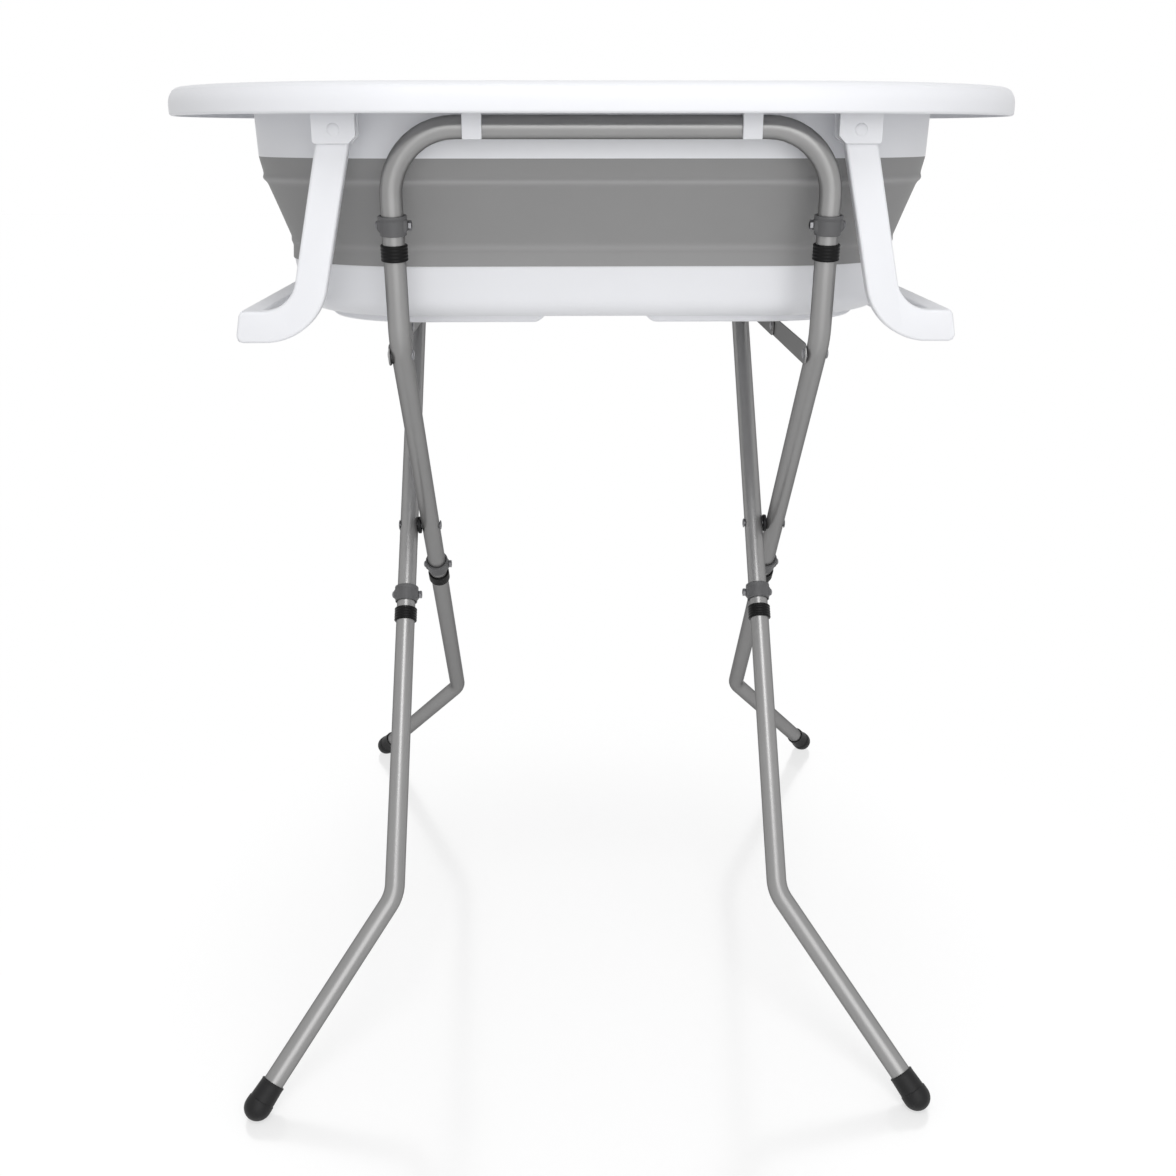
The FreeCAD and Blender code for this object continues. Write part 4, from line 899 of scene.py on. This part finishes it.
# Floor legs. One white moulding at each end of the tub: two flat arms that hang from the brackets, sweep
# outwards in a J and end in feet, and a bar that joins the feet across the end of the tub.
ARM_DROP = 0.16
ARM_OUT = 0.0352
ARM_BEND = 0.044
ARM_FOOT_RUN = 0.0602
ARM_HALF_WIDTH = 0.0135
ARM_EDGE = 0.0024
FOOT_SLANT = 0.005
FOOT_CORNER = 0.006
BAR_WIDTH = 0.024
BAR_SINK = 0.0002


def rounded(corners, radius, steps=5):
    """A closed outline with its corners rounded: it starts and ends in the middle of its last edge."""
    corners = np.asarray(corners, float)
    middle = (corners[0] + corners[-1]) / 2
    return bent_line([middle, *corners, middle], radius, steps)[:-1]


def arm_outline(line, inset):
    """An arm's flat face in X and Z, drawn in by an inset: the line moved out to both sides by half the
    width, a slanted foot end with round corners, and a half circle round the hinge."""
    half = ARM_HALF_WIDTH - inset
    way = np.gradient(line, axis=0)
    way /= np.linalg.norm(way, axis=1)[:, None]
    left = np.column_stack([way[:, 1], -way[:, 0]])
    low, high = line + half * left, line - half * left
    low_end = low[-1] - (inset, 0)
    high_end = high[-1] - (inset + FOOT_SLANT, 0)
    foot = bent_line([low[-2], low_end, high_end, high[-2]], FOOT_CORNER - inset, 8)
    start = math.degrees(math.atan2(-left[0, 1], -left[0, 0]))
    eye = arc(line[0], half, start, start - 180, 18)
    return np.concatenate([low[1:-2], foot[1:-1], high[-3:0:-1], eye])


def arm_plate(line, side, y):
    """The face stacked through the arm's thickness, drawn in at both faces along a quarter circle."""
    quarter = np.radians(np.linspace(0, 90, 6))
    insets = ARM_EDGE * (1 - np.sin(quarter))
    levels = ARM_HALF_THICK - ARM_EDGE * (1 - np.cos(quarter))
    levels = np.concatenate([-levels, levels[::-1]])
    insets = np.concatenate([insets, insets[::-1]])
    faces = [arm_outline(line, inset) for inset in insets]
    rows = [np.column_stack([face[:, 0] * side, np.full(len(face), y + level), face[:, 1]])
            for face, level in zip(faces, levels)]
    return skin(np.array(rows))


for side_name, side in (("right", 1), ("left", -1)):
    node = f"{side_name}_floor_leg"
    low, high = (np.array(corner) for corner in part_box(node))
    arm_y = high[1] - ARM_HALF_THICK
    heel = np.array([hinge_x + ARM_OUT, hinge_height - ARM_DROP])
    tip = heel + (ARM_FOOT_RUN, 0)
    line = bent_line([(hinge_x, hinge_height), heel, tip], ARM_BEND, 24)
    skins = [arm_plate(line, side, arm_y * end) for end in (1, -1)]
    bar_low, bar_high = low[2] + BAR_SINK, low[2] + 2 * ARM_HALF_WIDTH - BAR_SINK
    bar_out = tip[0] - BAR_SINK
    bar_corners = [
        (bar_out - BAR_WIDTH + BAR_SINK, bar_low),
        (bar_out, bar_low),
        (bar_out - FOOT_SLANT, bar_high),
        (bar_out - BAR_WIDTH + BAR_SINK, bar_high),
    ]
    face = rounded(bar_corners, ARM_EDGE)
    rows = [np.column_stack([face[:, 0] * side, np.full(len(face), y), face[:, 1]])
            for y in (-arm_y, arm_y)]
    skins.append(skin(np.array(rows)))
    leg = make_piece(f"{node}_moulding", skins, white_plastic, crease=45)
    fit(leg, f"{side_name}_leg", "white_plastic", node)


# Bar clips. White saddles moulded on the underside of the lip, two to each top tube. They hook over the
# tube from outside: a long lip in front, a half-round seat, and a short lip behind.
CLIP_WALL = 0.003
CLIP_PLAY = 0.0003
CLIP_BACK_RISE = 0.004
CLIP_EDGE = 0.0006

for end_name, end in (("near", -1), ("far", 1)):
    for side_name in ("right", "left"):
        node = f"{end_name}_{side_name}_bar_clip"
        low, high = (np.array(corner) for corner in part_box(node))
        bar_y, bar_z = (low[1] + high[1]) / 2, top_corner[2]
        seat = TUBE_RADIUS + CLIP_PLAY
        back_angle = math.degrees(math.asin(CLIP_BACK_RISE / seat))
        half_depth = seat + CLIP_WALL
        saddle = np.concatenate([
            [(half_depth, low[2] - bar_z), (seat, low[2] - bar_z)],
            arc((0, 0), seat, 0, 180 - back_angle, 18),
            [(-half_depth, CLIP_BACK_RISE), (-half_depth, high[2] - bar_z), (half_depth, high[2] - bar_z)],
        ])
        rows = [np.column_stack([np.full(len(saddle), x), bar_y + end * saddle[:, 0], bar_z + saddle[:, 1]])
                for x in (low[0], high[0])]
        clip = make_piece(f"{node}_saddle", [skin(np.array(rows))], white_plastic, crease=180)
        soften(clip, CLIP_EDGE, segments=2)
        fit(clip, "tub", "white_plastic", node)


# Floor. A plain white studio floor with a faint gloss. It takes soft shadows near the feet, where its own
# glow is weaker, and fades to the white of the background further off.
FLOOR_HALF = 14.0
FLOOR_WHITE = (0.9, 0.9, 0.9)
FLOOR_ROUGHNESS = 0.35
FADE_CENTRE = (0, -0.15, 0)
FADE_START = 0.25
FADE_END = 0.75
FLOOR_GLOW = 0.53
FLOOR_LIFT = 1.26
FLOOR_GLOSS = 0.2
FLOOR_GLOSS_ROUGHNESS = 0.17

floor_mesh = bpy.data.meshes.new("studio_floor")
floor_corners = FLOOR_HALF * np.array([(-1, -1, 0), (1, -1, 0), (1, 1, 0), (-1, 1, 0)])
floor_mesh.from_pydata(floor_corners.tolist(), [], [(0, 1, 2, 3)])
floor = bpy.data.objects.new("studio_floor", floor_mesh)
bpy.context.scene.collection.objects.link(floor)
floor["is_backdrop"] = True


def seen_directly(nodes, links):
    """A socket that is 1 for rays from the camera and for mirrored or transmitted ones, and 0 for the
    light that falls on things: the largest of the three."""
    rays = nodes.new("ShaderNodeLightPath")
    largest = rays.outputs["Is Camera Ray"]
    for kind in ("Is Glossy Ray", "Is Transmission Ray"):
        either = nodes.new("ShaderNodeMath")
        either.operation = "MAXIMUM"
        links.new(largest, either.inputs[0])
        links.new(rays.outputs[kind], either.inputs[1])
        largest = either.outputs["Value"]
    return largest


floor_finish = bpy.data.materials.new("studio_floor")
floor_finish.use_nodes = True
nodes, links = floor_finish.node_tree.nodes, floor_finish.node_tree.links
ground = nodes["Principled BSDF"]
ground.inputs["Base Color"].default_value = (*FLOOR_WHITE, 1)
ground.inputs["Roughness"].default_value = FLOOR_ROUGHNESS
place = nodes.new("ShaderNodeTexCoord")
distance = nodes.new("ShaderNodeVectorMath")
distance.operation = "DISTANCE"
distance.inputs[1].default_value = FADE_CENTRE
links.new(place.outputs["Object"], distance.inputs[0])
fade = nodes.new("ShaderNodeMapRange")
fade.interpolation_type = "SMOOTHSTEP"
fade.inputs["From Min"].default_value = FADE_START
fade.inputs["From Max"].default_value = FADE_END
fade.inputs["To Min"].default_value = FLOOR_GLOW
links.new(distance.outputs["Value"], fade.inputs["Value"])
lift = nodes.new("ShaderNodeMapRange")
lift.inputs["From Min"].default_value = FLOOR_GLOW
lift.inputs["To Min"].default_value = FLOOR_LIFT
lift.inputs["To Max"].default_value = 1
links.new(fade.outputs["Result"], lift.inputs["Value"])
white = nodes.new("ShaderNodeEmission")
links.new(lift.outputs["Result"], white.inputs["Strength"])
mirror = nodes.new("ShaderNodeBsdfGlossy")
mirror.inputs["Color"].default_value = (1, 1, 1, 1)
mirror.inputs["Roughness"].default_value = FLOOR_GLOSS_ROUGHNESS
polished = nodes.new("ShaderNodeMixShader")
polished.inputs["Fac"].default_value = FLOOR_GLOSS
links.new(white.outputs["Emission"], polished.inputs[1])
links.new(mirror.outputs["BSDF"], polished.inputs[2])
amount = nodes.new("ShaderNodeMath")
amount.operation = "MULTIPLY"
links.new(seen_directly(nodes, links), amount.inputs[0])
links.new(fade.outputs["Result"], amount.inputs[1])
blend = nodes.new("ShaderNodeMixShader")
links.new(amount.outputs["Value"], blend.inputs["Fac"])
links.new(ground.outputs["BSDF"], blend.inputs[1])
links.new(polished.outputs["Shader"], blend.inputs[2])
links.new(blend.outputs["Shader"], nodes["Material Output"].inputs["Surface"])
floor_mesh.materials.append(floor_finish)


# Light. A plain white surround and three soft boxes in front, one high over the camera, one behind and
# above it and a wide one low down, as for a catalogue picture. The surround shows as white behind the tub.
SURROUND_LIGHT = 0.49
OVERHEAD_POWER = 12
KEY_POWER = 12
FRONT_POWER = 13

world = bpy.data.worlds.new("studio")
bpy.context.scene.world = world
world.use_nodes = True
nodes, links = world.node_tree.nodes, world.node_tree.links
surround = nodes["Background"]
surround.inputs["Color"].default_value = (1, 1, 1, 1)
strength = nodes.new("ShaderNodeMapRange")
strength.inputs["To Min"].default_value = SURROUND_LIGHT
strength.inputs["To Max"].default_value = 1.0
links.new(seen_directly(nodes, links), strength.inputs["Value"])
links.new(strength.outputs["Result"], surround.inputs["Strength"])


def soft_box(name, place, aim, size, power):
    """A square lamp at a place, facing a point."""
    lamp = bpy.data.lights.new(name, "AREA")
    lamp.size = size
    lamp.energy = power
    holder = bpy.data.objects.new(name, lamp)
    holder.location = place
    away = np.asarray(place, float) - np.asarray(aim, float)
    turn = math.atan2(away[0], -away[1])
    tilt = math.atan2(math.hypot(away[0], away[1]), away[2])
    holder.rotation_euler = (tilt, 0, turn)
    bpy.context.scene.collection.objects.link(holder)


soft_box("overhead_light", place=(0, -1.25, 2.35), aim=(0, -0.1, 0.3), size=0.9, power=OVERHEAD_POWER)
soft_box("key_light", place=(0.45, -2.2, 1.5), aim=(0, 0, 0.5), size=1.8, power=KEY_POWER)
soft_box("front_light", place=(0.2, -2.4, 0.7), aim=(0, 0, 0.6), size=2.2, power=FRONT_POWER)
bpy.context.scene.view_settings.view_transform = "Standard"


# Camera. At the photograph's place: in front of the tub and a little lower than its rim, looking down by
# 19 degrees.
PHOTO_PIXELS = 1176
FOCAL_PIXELS = 1310.5
SENSOR_MM = 36
CAMERA_AWAY = 1.345
CAMERA_HEIGHT = 0.843
CAMERA_DOWN = math.radians(19.13)
CAMERA_ROUND = math.radians(1.26)
CENTRE_PIXELS_RIGHT = 4.5

lens = bpy.data.cameras.new("photo_camera")
lens.sensor_width = SENSOR_MM
lens.lens = SENSOR_MM * FOCAL_PIXELS / PHOTO_PIXELS
lens.shift_x = -CENTRE_PIXELS_RIGHT / PHOTO_PIXELS
camera = bpy.data.objects.new("photo_camera", lens)
camera_x = -CAMERA_AWAY * math.sin(CAMERA_ROUND)
camera_y = -CAMERA_AWAY * math.cos(CAMERA_ROUND)
camera.location = (camera_x, camera_y, CAMERA_HEIGHT)
camera.rotation_euler = (math.pi / 2 - CAMERA_DOWN, 0, -CAMERA_ROUND)
bpy.context.scene.collection.objects.link(camera)
bpy.context.scene.camera = camera


# The bounds of the finished model.
low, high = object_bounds()
